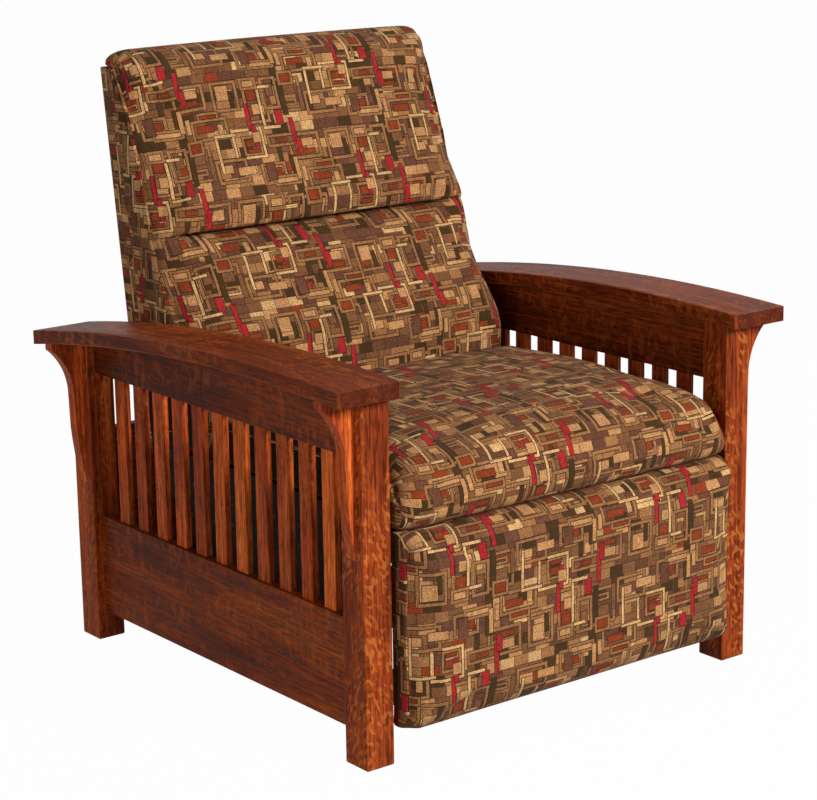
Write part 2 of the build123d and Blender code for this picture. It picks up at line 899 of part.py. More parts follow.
bracket_bottom = heel_pivot[1] - bracket_margin
bracket_top = board_pivot[1] + bracket_margin
bracket_screws = [
    (bracket_layer[0] - bracket_flange / 2, bracket_bottom + share * (bracket_top - bracket_bottom))
    for share in screw_row_shares
]
with BuildPart() as footrest_brackets:
    for side in sides.values():
        with BuildSketch(layer_plane(side, bracket_layer)):
            with Locations((board_rear, bracket_bottom)):
                Rectangle(
                    board_pivot_reach + bracket_margin,
                    bracket_top - bracket_bottom,
                    align=(Align.MIN, Align.MIN),
                )
            with Locations(board_pivot, heel_pivot):
                Circle(rivet_radius, mode=Mode.SUBTRACT)
        extrude(amount=bar_thickness / 2, both=True)
        with BuildSketch(outward(side, board_rear + bar_thickness / 2)):
            with Locations((bracket_layer[1], bracket_bottom)):
                Rectangle(
                    bracket_flange + bar_thickness,
                    bracket_top - bracket_bottom,
                    align=(Align.MAX, Align.MIN),
                )
            with Locations(*bracket_screws):
                Circle(screw_radius, mode=Mode.SUBTRACT)
        extrude(amount=bar_thickness / 2, both=True)
save(footrest_brackets, "footrest_brackets")

with BuildPart() as footrest_screws:
    for side in sides.values():
        head_top = board_rear + bar_thickness + screw_head
        for radius, start, length in (
            (screw_head_radius, head_top, screw_head),
            (screw_radius, head_top - screw_head, bar_thickness),
        ):
            with BuildSketch(Plane.XZ.offset(-start)):
                with Locations(*[(side * x, z) for x, z in bracket_screws]):
                    Circle(radius)
            extrude(amount=length)
save(footrest_screws, "footrest_screws")

make_pins(
    "footrest_rivets",
    (
        (board_pivot, ((rivet_radius, bracket_layer[0], outer_layer[1]),)),
        (heel_pivot, ((rivet_radius, bracket_layer[0], bracket_layer[1]),)),
    ),
)


# Footrest linkage
make_bars("main_links", main_layer, bar_width, [((main_pivot, knee), (pin_hole, rivet_radius))])
make_bars(
    "outer_links",
    outer_layer,
    bar_width,
    [((knee, crossing, board_pivot), (rivet_hole, rivet_hole, rivet_hole))],
)
make_bars(
    "control_links",
    control_layer,
    bar_width,
    [((control_pivot, crossing, elbow), (pin_hole, rivet_radius, rivet_radius))],
)
make_bars("brace_links", brace_layer, bar_width, [((elbow, heel_pivot), (rivet_hole, rivet_hole))])
make_pins("main_link_rivets", ((knee, ((rivet_radius, outer_layer[0], main_layer[1]),)),))
make_pins(
    "control_link_rivets",
    (
        (crossing, ((rivet_radius, control_layer[0], control_layer[1]),)),
        (elbow, ((rivet_radius, brace_layer[0], control_layer[1]),)),
    ),
)
with BuildPart() as footrest_tube:
    with BuildSketch(Plane.YZ):
        with Locations(tube_centre):
            Circle(tube_radius)
            Circle(tube_radius - tube_wall, mode=Mode.SUBTRACT)
    extrude(amount=control_layer[0], both=True)
save(footrest_tube, "footrest_tube")


# Reclining back
back_lean = tan(radians(back_tilt))
frame_top = back_top - head_cap_height - back_cover_thickness


def back_rear_at(z):
    """How far behind the middle of the chair the back's rear face is at height z."""
    return back_rear + back_lean * (z - back_rear_datum)


def frame_front_at(z):
    """How far behind the middle of the chair the front of the back's frame is at height z."""
    return back_rear_at(z) - back_cover_thickness - back_frame_depth


def frame_outline(bottom, top, front_recess, rear_recess):
    """The side view of a piece of the leaning frame, cut level at bottom and top."""
    Polygon(
        (frame_front_at(bottom) + front_recess, bottom),
        (back_rear_at(bottom) - rear_recess, bottom),
        (back_rear_at(top) - rear_recess, top),
        (frame_front_at(top) + front_recess, top),
        align=None,
    )


bracket_rise = back_bracket_height - back_bottom
screw_line = [
    (frame_front_at(z) + back_frame_depth / 2, z)
    for z in [back_bottom + share * bracket_rise for share in back_screw_shares]
]
stile_x = stile_outer - stile_width / 2
stile_inner = stile_outer - stile_width
back_bracket_layer = (stile_outer, stile_outer + bar_thickness)


def make_stile(side, name):
    """An upright of the back's wooden frame."""
    with BuildPart() as stile:
        with BuildSketch(Plane.YZ.offset(side * stile_x)):
            frame_outline(back_bottom, frame_top, 0, back_cover_thickness)
        extrude(amount=stile_width / 2, both=True)
        with BuildSketch(Plane.YZ.offset(side * stile_outer)):
            with Locations(*screw_line):
                Circle(screw_radius)
        extrude(amount=-side * screw_length, mode=Mode.SUBTRACT)
    save(stile, name)


def make_back_bracket(side, name):
    """The steel bracket on the stile, with an arm and a boss that turn on the hinge pin."""
    arm_bottom = back_hinge[1] - back_bracket_arm / 2
    arm_top = back_bottom - back_cover_thickness
    with BuildPart() as bracket:
        with BuildSketch(layer_plane(side, back_bracket_layer)):
            frame_outline(arm_bottom, back_bracket_height, back_bracket_inset, back_bracket_inset)
            with BuildLine():
                Polyline(
                    (back_hinge[0], arm_bottom),
                    (frame_front_at(arm_bottom) + back_bracket_arm, arm_bottom),
                    (frame_front_at(arm_top) + back_bracket_arm, arm_top),
                    (back_hinge[0], arm_top),
                    close=True,
                )
            make_face()
            with Locations(back_hinge):
                Circle(back_boss_radius)
                Circle(pin_hole, mode=Mode.SUBTRACT)
            with Locations(*screw_line):
                Circle(screw_radius, mode=Mode.SUBTRACT)
        extrude(amount=bar_thickness / 2, both=True)
        with BuildSketch(Plane.YZ.offset(side * back_bracket_layer[1])):
            with Locations(back_hinge):
                Circle(back_boss_radius)
                Circle(pin_hole, mode=Mode.SUBTRACT)
        extrude(amount=side * (plate_layer[0] - bar_gap - back_bracket_layer[1]))
    save(bracket, name)


for side_name, side in sides.items():
    make_stile(side, f"back_stile_{side_name}")
    make_back_bracket(side, f"back_bracket_{side_name}")

make_pins(
    "back_bracket_screws",
    [
        (
            place,
            (
                (screw_radius, stile_outer - screw_length, back_bracket_layer[1]),
                (screw_head_radius, back_bracket_layer[1], back_bracket_layer[1] + screw_head),
            ),
        )
        for place in screw_line
    ],
)

for rail_name, rail_bottom in (
    ("back_bottom_rail", back_bottom),
    ("back_top_rail", frame_top - back_rail_height),
):
    with BuildPart() as back_rail:
        with BuildSketch(Plane.YZ):
            frame_outline(
                rail_bottom, rail_bottom + back_rail_height, back_rail_recess, back_cover_thickness
            )
        extrude(amount=stile_inner, both=True)
    save(back_rail, rail_name)

spring_low = back_bottom + back_rail_height / 2
spring_high = frame_top - back_rail_height / 2
out_of_the_back = (0, -cos(radians(back_tilt)), sin(radians(back_tilt)))
spring_depth = wire_height / cos(radians(back_tilt))
back_spring_plane = Plane(
    origin=(0, frame_front_at(spring_low) + back_rail_recess - spring_depth, spring_low),
    x_dir=(1, 0, 0),
    z_dir=out_of_the_back,
)
back_spring_length = (spring_high - spring_low) / cos(radians(back_tilt))
make_springs(
    "back_springs", back_spring_plane, back_spring_length, back_spring_count, back_spring_pitch
)
make_clips(
    "back_spring_clips", back_spring_plane, back_spring_length, back_spring_count, back_spring_pitch
)

with BuildPart() as back_cover:
    with BuildSketch(Plane.YZ):
        frame_outline(back_bottom, frame_top + back_cover_thickness, 0, 0)
    extrude(amount=back_half_width, both=True)
    rear_edges = back_cover.faces().sort_by(Axis.Y)[-1].edges()
    fillet(rear_edges.filter_by(Axis.X, reverse=True), back_cover_round)
    with BuildSketch(Plane.YZ):
        frame_outline(0, frame_top, -back_cover_thickness, back_cover_thickness)
    extrude(amount=back_half_width - back_cover_thickness, both=True, mode=Mode.SUBTRACT)
save(back_cover, "back_cover")


def make_back_cushion(name, bottom, height, depth, station_shares):
    """A cushion of the back, standing on the front of the leaning frame."""
    with BuildPart() as cushion:
        for along, deep, width in station_shares:
            z = bottom + along * height
            high = deep * depth - back_crown
            section = cushion_section(
                facing_front(frame_front_at(z) - soft_gap, z),
                width * back_half_width,
                0,
                high,
                back_crown,
                back_side_bow,
                corner_round(back_low_round, 0, high, back_low_round),
                corner_round(back_high_round, 0, high, back_low_round),
            )
            add(section)
        loft(ruled=True)
        if name == "head_cushion":
            cap_bottom = bottom + height
            for along, front, rear, width in head_cap_shares:
                z = cap_bottom + along * (back_top - cap_bottom)
                high = front * depth - back_crown
                low = -rear * (back_frame_depth + back_cover_thickness)
                section = cushion_section(
                    facing_front(frame_front_at(z) - soft_gap, z),
                    width * back_half_width,
                    low,
                    high,
                    back_crown,
                    back_side_bow,
                    corner_round(back_high_round / 2, low, high, back_low_round),
                    corner_round(back_high_round, low, high, back_high_round / 2),
                )
                add(section)
            loft(ruled=True)
    save(cushion, name)


head_bottom = back_bottom + lower_cushion_height + crease_gap
head_height = frame_top + back_cover_thickness + soft_gap - head_bottom
make_back_cushion(
    "back_cushion", back_bottom, lower_cushion_height, lower_cushion_depth, lower_station_shares
)
make_back_cushion("head_cushion", head_bottom, head_height, head_cushion_depth, head_station_shares)
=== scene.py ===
# %% [markdown]
# # A mission reclining armchair
# This lesson dresses a mission armchair whose back reclines and whose footrest opens. The CAD
# frame brings every rigid piece at its real size: the oak show frame, the seat and back frames,
# the steel links and the springs. What is left for Blender is the look: stained quarter-sawn
# oak, dark steel, and three upholstered forms in a woven tapestry cloth.
#
# Blender works in metres, with +Z up. The chair faces -Y, and the sitter's left side is +X.

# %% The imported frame
import math

import bmesh
import bpy
import numpy as np
from mathutils import Matrix, Vector


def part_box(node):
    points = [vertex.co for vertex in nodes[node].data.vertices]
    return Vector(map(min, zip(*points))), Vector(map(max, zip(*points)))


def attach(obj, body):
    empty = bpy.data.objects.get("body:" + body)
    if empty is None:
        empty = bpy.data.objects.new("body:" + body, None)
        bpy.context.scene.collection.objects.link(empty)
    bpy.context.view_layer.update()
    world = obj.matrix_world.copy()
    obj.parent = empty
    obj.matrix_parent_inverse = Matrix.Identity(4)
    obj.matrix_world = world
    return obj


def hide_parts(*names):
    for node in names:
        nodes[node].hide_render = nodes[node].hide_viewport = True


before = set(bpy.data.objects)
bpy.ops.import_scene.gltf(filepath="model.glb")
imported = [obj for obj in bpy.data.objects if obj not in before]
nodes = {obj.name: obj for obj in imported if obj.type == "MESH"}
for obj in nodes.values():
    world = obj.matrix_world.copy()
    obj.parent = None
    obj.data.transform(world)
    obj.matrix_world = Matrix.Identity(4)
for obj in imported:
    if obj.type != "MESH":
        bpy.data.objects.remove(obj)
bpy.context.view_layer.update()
millimetre = 0.001

# %% [markdown]
# ## The camera
# The photograph was taken from in front of the chair's right side, a little above the arms,
# through a long lens. A camera is three axes and a place: it looks along the forward axis, and
# roll turns the other two about it. Four marks on the real frame, its arms and its feet gave the
# numbers. A focal length in pixels becomes millimetres on a 36 mm sensor.

# %% The photograph's viewpoint
camera_place = Vector((-2.41568, -3.12163, 1.41504))
camera_yaw = 0.659259
camera_pitch = -0.243205
camera_roll = -0.015574
focal_length_pixels = 2411.21
photo_width = 817
sensor_width = 36


def camera_axes(yaw, pitch, roll):
    """Forward is (sin yaw cos pitch, cos yaw cos pitch, sin pitch). Right is level, up is
    square to both, and roll turns right and up about forward. Angles are in radians."""
    forward = Vector(
        (math.sin(yaw) * math.cos(pitch), math.cos(yaw) * math.cos(pitch), math.sin(pitch))
    )
    right = Vector((math.cos(yaw), -math.sin(yaw), 0))
    up = right.cross(forward)
    rolled_right = math.cos(roll) * right + math.sin(roll) * up
    rolled_up = math.cos(roll) * up - math.sin(roll) * right
    return Matrix((rolled_right, rolled_up, -forward)).transposed().to_4x4()


def add_object(name, data):
    """An object with this data, linked into the scene."""
    made = bpy.data.objects.new(name, data)
    bpy.context.scene.collection.objects.link(made)
    return made


camera = add_object("camera", bpy.data.cameras.new("camera"))
camera.data.sensor_width = sensor_width
camera.data.lens = focal_length_pixels * sensor_width / photo_width
camera.matrix_world = Matrix.Translation(camera_place) @ camera_axes(
    camera_yaw, camera_pitch, camera_roll
)
bpy.context.scene.camera = camera
print("lens:", round(camera.data.lens, 1), "mm")

# %% [markdown]
# ## Writing a material as a list of steps
# A shader is a small graph. These helpers add one node, fill its sockets with values or links,
# and give back what comes out, so that each finish below reads as a recipe. The middle range is
# where most values of a noise lie.

# %% Helpers for shader graphs
middle_range = (0.3, 0.7)


def add_node(tree, kind, sockets=None, **settings):
    """Add one shader node, set its settings, then fill sockets with values or links."""
    node = tree.nodes.new("ShaderNode" + kind)
    for name, value in settings.items():
        setattr(node, name, value)
    for socket, value in (sockets or {}).items():
        if isinstance(value, bpy.types.NodeSocket):
            tree.links.new(value, node.inputs[socket])
        else:
            node.inputs[socket].default_value = value
    return node


def calculate(tree, operation, *values):
    """One step of arithmetic on one, two or three values."""
    return add_node(tree, "Math", dict(enumerate(values)), operation=operation).outputs[0]


def calculate_each(tree, operation, *values):
    """One step of arithmetic on each of the three parts of its vectors."""
    return add_node(tree, "VectorMath", dict(enumerate(values)), operation=operation).outputs[0]


def split(tree, vector):
    """The three parts of a vector, as sockets."""
    return add_node(tree, "SeparateXYZ", {0: vector}).outputs


def place_on_object(tree):
    """Where the surface point lies, in metres from the object's origin."""
    return add_node(tree, "TexCoord").outputs["Object"]


def product(tree, first, *others):
    """All the values multiplied together."""
    for other in others:
        first = calculate(tree, "MULTIPLY", first, other)
    return first


def mix_paint(tree, share, first, second, how="MIX"):
    """Mix two colours: a share of the second over the first."""
    sockets = {0: share, 6: first, 7: second}
    return add_node(tree, "Mix", sockets, data_type="RGBA", blend_type=how).outputs[2]


def spread(tree, value, low, high, to_low=0.0, to_high=1.0):
    """Stretch a value from one range to another, with soft ends."""
    sockets = {0: value, 1: low, 2: high, 3: to_low, 4: to_high}
    return add_node(tree, "MapRange", sockets, interpolation_type="SMOOTHSTEP").outputs[0]


def colour_ramp(tree, share, stops, interpolation="LINEAR"):
    """Colours laid along 0 to 1, each stop a place and a colour."""
    node = add_node(tree, "ValToRGB", {0: share})
    node.color_ramp.interpolation = interpolation
    for index, (place, colour) in enumerate(stops):
        elements = node.color_ramp.elements
        element = elements[index] if index < 2 else elements.new(place)
        element.position = place
        element.color = colour
    return node


def add_bump(tree, shader, height, depth, strength):
    """Raise the surface by a height from 0 to 1, where 1 is a depth in metres."""
    bump = {"Height": height, "Distance": depth, "Strength": strength}
    tree.links.new(add_node(tree, "Bump", bump).outputs[0], shader.inputs["Normal"])


def paint(red, green, blue):
    """A colour as the eye reads it, 0 to 255, turned into light: ((c + 0.055) / 1.055) ** 2.4."""
    shares = np.array((red, green, blue)) / 255
    light = np.where(shares <= 0.04045, shares / 12.92, ((shares + 0.055) / 1.055) ** 2.4)
    return (*light.tolist(), 1.0)


def empty_graph(owner):
    """The shader graph of a material or a world, with nothing in it."""
    owner.use_nodes = True
    owner.node_tree.nodes.clear()
    return owner.node_tree


def start_material(name):
    """An empty material with one Principled shader."""
    material = bpy.data.materials.new(name)
    tree = empty_graph(material)
    shader = add_node(tree, "BsdfPrincipled")
    add_node(tree, "OutputMaterial", {"Surface": shader.outputs[0]})
    return material, tree, shader


print("helpers ready")

# %% [markdown]
# ## Studio: floor, sky and lamps
# The photograph is a cut-out on white, lit from in front: faces that look forward are bright, the
# outer side of the near arm is in half shade, and the inside of the chair is black. A large soft
# lamp gives that key, a weak low one at the side reaches under the arm, and a dim sky fills the
# rest. The camera and the reflections see the sky as plain white, and the finishes are kept dull,
# so that no white haze lies on them. The floor glows for the camera and is dull for the light, and
# takes a faint shadow.

# %% Floor, sky and lamps
floor_half = 30.0
floor_dull = (0.40, 0.39, 0.38, 1.0)
floor_glow_share = 0.985
sky_colour = (1.0, 0.95, 0.89, 1.0)
sky_fill = 0.27
plain_white = (1.0, 1.0, 1.0, 1.0)
lamp_colour = (1.0, 0.96, 0.91)
key_place = Vector((1.1, -4.7, 2.9))
key_target = Vector((0, 0, 0.55))
key_size = 1.5
key_power = 315
side_place = Vector((-4.0, -0.9, 1.15))
side_size = 2.2
side_power = 40


def seen_as_background(tree):
    """1 for the rays that show the background: those of the camera, of metal and of glass."""
    outputs = add_node(tree, "LightPath").outputs
    straight = calculate(tree, "MAXIMUM", outputs["Is Camera Ray"], outputs["Is Transmission Ray"])
    return calculate(tree, "MAXIMUM", straight, outputs["Is Glossy Ray"])


world = bpy.data.worlds.new("studio")
sky = empty_graph(world)
fill = add_node(sky, "Background", {0: sky_colour, 1: sky_fill})
white = add_node(sky, "Background", {0: plain_white, 1: 1.0})
both = add_node(sky, "MixShader", {0: seen_as_background(sky), 1: fill.outputs[0], 2: white.outputs[0]})
add_node(sky, "OutputWorld", {"Surface": both.outputs[0]})
bpy.context.scene.world = world
bpy.context.scene.view_settings.view_transform = "Standard"

floor_mesh = bpy.data.meshes.new("floor")
floor_corners = [(-floor_half, -floor_half), (floor_half, -floor_half)]
floor_corners += [(x, -y) for x, y in reversed(floor_corners)]
floor_mesh.from_pydata([(x, y, 0.0) for x, y in floor_corners], [], [(0, 1, 2, 3)])
floor = add_object("floor", floor_mesh)
floor_material = bpy.data.materials.new("pale_floor")
ground = empty_graph(floor_material)
matt = add_node(ground, "BsdfDiffuse", {0: floor_dull})
glow = add_node(ground, "Emission", {0: plain_white, 1: 1.0})
glow_share = calculate(ground, "MULTIPLY", seen_as_background(ground), floor_glow_share)
surface = add_node(ground, "MixShader", {0: glow_share, 1: matt.outputs[0], 2: glow.outputs[0]})
add_node(ground, "OutputMaterial", {"Surface": surface.outputs[0]})
floor_mesh.materials.append(floor_material)


def add_lamp(name, place, target, size, power):
    """A square soft lamp that looks at the target."""
    lamp = add_object(name, bpy.data.lights.new(name, "AREA"))
    lamp.data.size = size
    lamp.data.energy = power
    lamp.data.color = lamp_colour
    lamp.location = place
    lamp.rotation_euler = (target - place).to_track_quat("-Z", "Y").to_euler()


add_lamp("key_lamp", key_place, key_target, key_size, key_power)
add_lamp("side_lamp", side_place, key_target, side_size, side_power)
print("sky fill", sky_fill, "key lamp", key_power, "W and side lamp", side_power, "W")

# %% [markdown]
# ## Stained quarter-sawn oak
# The show frame is white oak, sawn on the quarter and stained red-brown. Four things make it read
# as oak: slow bands of lighter and darker stain, fine straight grain lines, open pores, and the
# ray flecks, pale ribbons that cross the grain at a slant. Every board is cut from its own place
# in a block of wood: one three-dimensional pattern, turned so that its first axis runs along the
# board and shifted for each board. Where the surface faces along the grain it is end grain, and
# soaks up more stain. The arrises, where the surface faces none of the three axes, are painted
# lighter: partly rubbed wear, partly a painted edge highlight.

# %% Stain and grain
stain_deep = paint(96, 35, 15)
stain_middle = paint(147, 61, 26)
stain_warm = paint(188, 92, 38)
fleck_gold = paint(220, 132, 58)
end_grain_dark = paint(62, 24, 16)
grain_turns = {"x": (0, 0, 0), "y": (0, 0, -math.pi / 2), "z": (0, math.pi / 2, 0)}
fleck_slant = math.radians(27)


def wood_noise(tree, place, stretch, detail, distortion=0.0):
    """Noise whose cells measure one metre over the stretch, along and across the grain."""
    scaled = add_node(tree, "Mapping", {"Vector": place, "Scale": stretch}).outputs[0]
    sockets = {"Vector": scaled, "Scale": 1.0, "Detail": detail, "Distortion": distortion}
    return add_node(tree, "TexNoise", sockets).outputs[0]


def along_grain(tree, place, grain, shift):
    """Turn a place so that its first axis runs along the grain, and shift it in the block."""
    turned = {"Vector": place, "Rotation": grain_turns[grain], "Location": shift}
    return add_node(tree, "Mapping", turned).outputs[0]


def board_number(tree, place, pitch):
    """A steady random value for each board of a row, from its place along the row."""
    along_row = split(tree, place)[1]
    number = calculate(tree, "ROUND", calculate(tree, "DIVIDE", along_row, pitch))
    return add_node(tree, "TexWhiteNoise", {"W": number}, noise_dimensions="1D").outputs[0]


def facing(tree, axis_index):
    """How squarely the surface faces along one axis, and along its nearest axis, from 0 to 1."""
    normal = add_node(tree, "TexCoord").outputs["Normal"]
    parts = split(tree, calculate_each(tree, "ABSOLUTE", normal))
    nearest = calculate(tree, "MAXIMUM", calculate(tree, "MAXIMUM", parts[0], parts[1]), parts[2])
    return parts[axis_index], nearest


print("oak along", ", ".join(grain_turns))

# %% [markdown]
# Each layer of the oak is a noise, stretched along the board. The table gives its cells in one
# metre along and across the grain, its detail and its distortion. Each shade below says which part
# of a noise counts, and the tones that its two ends give: grain lines and pores darken, mottle
# lightens and darkens a little. Rays gleam only in patches, and so do flames, the broad bowed
# figure of wide boards.

# %% The oak recipe
oak_layers = {
    "bands": ((1.6, 17, 17), 3.0, 0.8),
    "lines": ((6, 240, 240), 3.5, 0.3),
    "mottle": ((18, 60, 60), 3.0, 1.2),
    "pores": ((34, 330, 330), 1.5),
    "ribbons": ((22, 170, 170), 0.0, 0.1),
    "patches": ((5, 22, 22), 1.0),
    "flames": ((46, 13, 13), 1.5, 1.6),
}
stain_stops = ((0.28, stain_deep), (0.50, stain_middle), (0.72, stain_warm))
line_shade = (0.36, 0.64, 0.56, 1.20)
mottle_shade = (0.32, 0.68, 0.86, 1.10)
pore_shade = (0.51, 0.60, 1.0, 0.56)
patch_range = (0.40, 0.58)
ray_range = (0.57, 0.64)
flame_range = (0.54, 0.60)
flame_amount = 0.20
end_grain_range = (0.6, 0.9)
end_grain_amount = 0.62
# Arrises are painted lighter: rubbed wear and a painted edge highlight.
arris_wear_and_highlight_range = (0.97, 0.86)
arris_wear_and_highlight_amount = 0.22
row_tones = (0.80, 1.14)
row_jump = 7.0
oak_roughness = (0.40, 0.58)
oak_gloss = 0.05
oak_coat = 0.01
oak_coat_roughness = 0.3
oak_bump_depth = 0.35 * millimetre
oak_bump_strength = 0.5
line_relief = 0.5


def oak(name, grain, shift, painted_light_tone, fleck, row_pitch):
    """Oak with its grain along one axis, cut at its own shift in metres. The tone is painted light and
    shade: it lightens or darkens the whole stick. fleck is how strongly the rays gleam. A row pitch
    above 0 parts the boards of a row."""
    material, tree, shader = start_material(name)
    place = place_on_object(tree)
    board = along_grain(tree, place, grain, shift)
    tones = painted_light_tone
    if row_pitch:
        number = board_number(tree, place, row_pitch)
        jump = add_node(tree, "CombineXYZ", {0: product(tree, number, row_jump), 1: number})
        board = calculate_each(tree, "ADD", board, jump.outputs[0])
        tones = spread(tree, number, 0.0, 1.0, row_tones[0] * painted_light_tone, row_tones[1] * painted_light_tone)
    slanted = add_node(tree, "Mapping", {"Vector": board, "Rotation": (0, fleck_slant, fleck_slant)})
    cut = {layer: board for layer in oak_layers} | {"ribbons": slanted.outputs[0]}
    noise = {layer: wood_noise(tree, cut[layer], *look) for layer, look in oak_layers.items()}
    near_patch = spread(tree, noise["patches"], *patch_range)
    rays = product(tree, spread(tree, noise["ribbons"], *ray_range), near_patch, fleck)
    flames = product(tree, spread(tree, noise["flames"], *flame_range), near_patch, flame_amount)
    end_facing, nearest = facing(tree, "xyz".index(grain))
    end_grain = product(tree, spread(tree, end_facing, *end_grain_range), end_grain_amount)
    # The arrises: rubbed wear and a painted edge highlight.
    arris_wear_and_highlight = product(tree, spread(tree, nearest, *arris_wear_and_highlight_range), arris_wear_and_highlight_amount)

    open_pores = spread(tree, noise["pores"], *pore_shade)
    streaks = spread(tree, noise["lines"], *line_shade)
    shade = product(tree, streaks, spread(tree, noise["mottle"], *mottle_shade), open_pores, tones)
    shade_colour = add_node(tree, "CombineColor", {0: shade, 1: shade, 2: shade}).outputs[0]
    colour = colour_ramp(tree, noise["bands"], stain_stops).outputs[0]
    colour = mix_paint(tree, 1.0, colour, shade_colour, "MULTIPLY")
    over = ((flames, stain_warm), (rays, fleck_gold), (arris_wear_and_highlight, stain_warm), (end_grain, end_grain_dark))
    for share, paint_over in over:
        colour = mix_paint(tree, share, colour, paint_over)
    tree.links.new(colour, shader.inputs["Base Color"])
    gloss = spread(tree, noise["lines"], *middle_range, *oak_roughness)
    tree.links.new(gloss, shader.inputs["Roughness"])
    height = calculate(tree, "MULTIPLY_ADD", noise["lines"], line_relief, open_pores)
    add_bump(tree, shader, height, oak_bump_depth, oak_bump_strength)
    shader.inputs["Specular IOR Level"].default_value = oak_gloss
    shader.inputs["Coat Weight"].default_value = oak_coat
    shader.inputs["Coat Roughness"].default_value = oak_coat_roughness
    return material


print("oak layers:", ", ".join(oak_layers))

# %% [markdown]
# ## Which way the grain runs
# A joiner runs the grain along each stick: up the posts, slats and corbels, front to back on the
# arms and side rails, and across on the stretchers. Each node takes oak from another place in the
# block, so that no two boards match. Slats share a node, and their place in the row parts them.
# Each stick's tone is painted light and shade: the slats, corbels and rear posts are painted
# lighter against the arm's shade, and the arms and rails darker. The rails are plainer stock, and
# the posts show their rays. Each stick lists its grain, its tone of painted light and shade, and
# how strongly its rays gleam.

# %% Oak on the show frame
# The middle number of each stick is its tone, painted light and shade.
side_sticks = {
    "arm": ("y", 0.62, 0.12),
    "upper_side_rail": ("y", 0.58, 0.06),
    "lower_side_rail": ("y", 0.62, 0.08),
    "side_slats": ("z", 1.6, 0.12),
    "front_post": ("z", 1.0, 0.34),
    "rear_post": ("z", 1.25, 0.2),
    "front_corbel": ("z", 1.7, 0.1),
    "rear_corbel": ("z", 1.7, 0.1),
}
cross_sticks = {
    "front_stretcher": ("x", 1.0, 0.1),
    "rear_lower_rail": ("x", 0.8, 0.1),
    "rear_upper_rail": ("x", 0.8, 0.1),
}
slat_pitch = 59.5 * millimetre
board_step = Vector((0.83, 0.37, 0.59))


def finish(node, material):
    """Give every surface of a CAD node one material."""
    for slot in nodes[node].material_slots:
        slot.material = material


sides = ("left", "right")
oak_boards = [(f"{stick}_{side}", look) for side in sides for stick, look in side_sticks.items()]
oak_boards += list(cross_sticks.items())
for index, (node, (grain, painted_light_tone, fleck)) in enumerate(oak_boards):
    pitch = slat_pitch if "slats" in node else 0.0
    finish(node, oak(f"oak_{node}", grain, board_step * (index + 1), painted_light_tone, fleck, pitch))
print("oak boards:", len(oak_boards))

# %% [markdown]
# ## The hidden frame: hardwood, steel and screws
# Under the cloth the frame is plain hardwood, planed but not sanded smooth. The seat's frame,
# which shows between the slats, is painted nearly black as painted shade, so that the gaps between
# the slats stay dark. The footrest's board has the same dark tone. The links are steel bar with
# black paint, scuffed to bare metal where they rub. Screws are zinc plated, and the springs are
# oiled wire. Small noises at two scales keep each of them from looking new, listed as those of the
# oak are.

# %% Hidden finishes
hardwood_lines = ((4, 140, 140), 4.0, 0.4)
hardwood_saw_marks = ((240, 20, 20), 1.0)
hardwood_range = (0.32, 0.62)
hardwood_roughness = (0.62, 0.78)
saw_mark_depth = 0.4 * millimetre
saw_mark_strength = 0.4
hardwood_pale = paint(196, 160, 112)
hardwood_dark = paint(158, 118, 74)
# Nearly black tones: painted shade on the seat's frame between the slats.
painted_shade_pale = paint(52, 34, 24)
painted_shade_dark = paint(34, 22, 16)
metal_wear = ((90, 90, 90), 4.0)
metal_grain = ((900, 900, 900), 2.0)
worn_range = (0.62, 0.70)
metal_bump_depth = 0.08 * millimetre
metal_bump_strength = 0.5


def hardwood(name, grain, shift, dark, pale):
    """Plain hardwood with soft straight grain between a dark and a pale tone."""
    material, tree, shader = start_material(name)
    place = place_on_object(tree)
    board = along_grain(tree, place, grain, shift)
    lines = wood_noise(tree, board, *hardwood_lines)
    saw_marks = wood_noise(tree, board, *hardwood_saw_marks)
    colour = colour_ramp(tree, lines, tuple(zip(hardwood_range, (dark, pale)))).outputs[0]
    tree.links.new(colour, shader.inputs["Base Color"])
    rough = spread(tree, lines, *middle_range, *hardwood_roughness)
    tree.links.new(rough, shader.inputs["Roughness"])
    add_bump(tree, shader, saw_marks, saw_mark_depth, saw_mark_strength)
    return material


def metal(name, coat, bare, metallic, roughness):
    """A coated metal: the coat wears through to bare metal where a coarse noise is high."""
    material, tree, shader = start_material(name)
    place = place_on_object(tree)
    coarse = wood_noise(tree, place, *metal_wear)
    fine = wood_noise(tree, place, *metal_grain)
    colour = mix_paint(tree, spread(tree, coarse, *worn_range), coat, bare)
    tree.links.new(colour, shader.inputs["Base Color"])
    rough = spread(tree, fine, *middle_range, *roughness)
    tree.links.new(rough, shader.inputs["Roughness"])
    add_bump(tree, shader, fine, metal_bump_depth, metal_bump_strength)
    shader.inputs["Metallic"].default_value = metallic
    return material


black_steel = metal("black_steel", paint(30, 30, 31), paint(92, 90, 88), 0.75, (0.38, 0.55))
zinc = metal("zinc_plate", paint(178, 176, 168), paint(140, 138, 132), 1.0, (0.28, 0.42))
spring_wire = metal("spring_wire", paint(74, 72, 70), paint(110, 96, 82), 0.9, (0.32, 0.5))
hidden_wood = {
    "seat_side_rail_left": "y",
    "seat_side_rail_right": "y",
    "seat_front_rail": "x",
    "seat_rear_rail": "x",
    "back_stile_left": "z",
    "back_stile_right": "z",
    "back_top_rail": "x",
    "back_bottom_rail": "x",
    "footrest_board": "x",
}
for index, (node, grain) in enumerate(hidden_wood.items()):
    # The seat's frame and the footrest's board get the nearly black tones of painted shade.
    in_painted_shade = "seat" in node or "footrest" in node
    tones = (painted_shade_dark, painted_shade_pale) if in_painted_shade else (hardwood_dark, hardwood_pale)
    finish(node, hardwood(f"hardwood_{node}", grain, board_step * (index + 1), *tones))
metal_words = (("springs", spring_wire), ("spring_clips", zinc), ("screws", zinc), ("rivets", zinc))
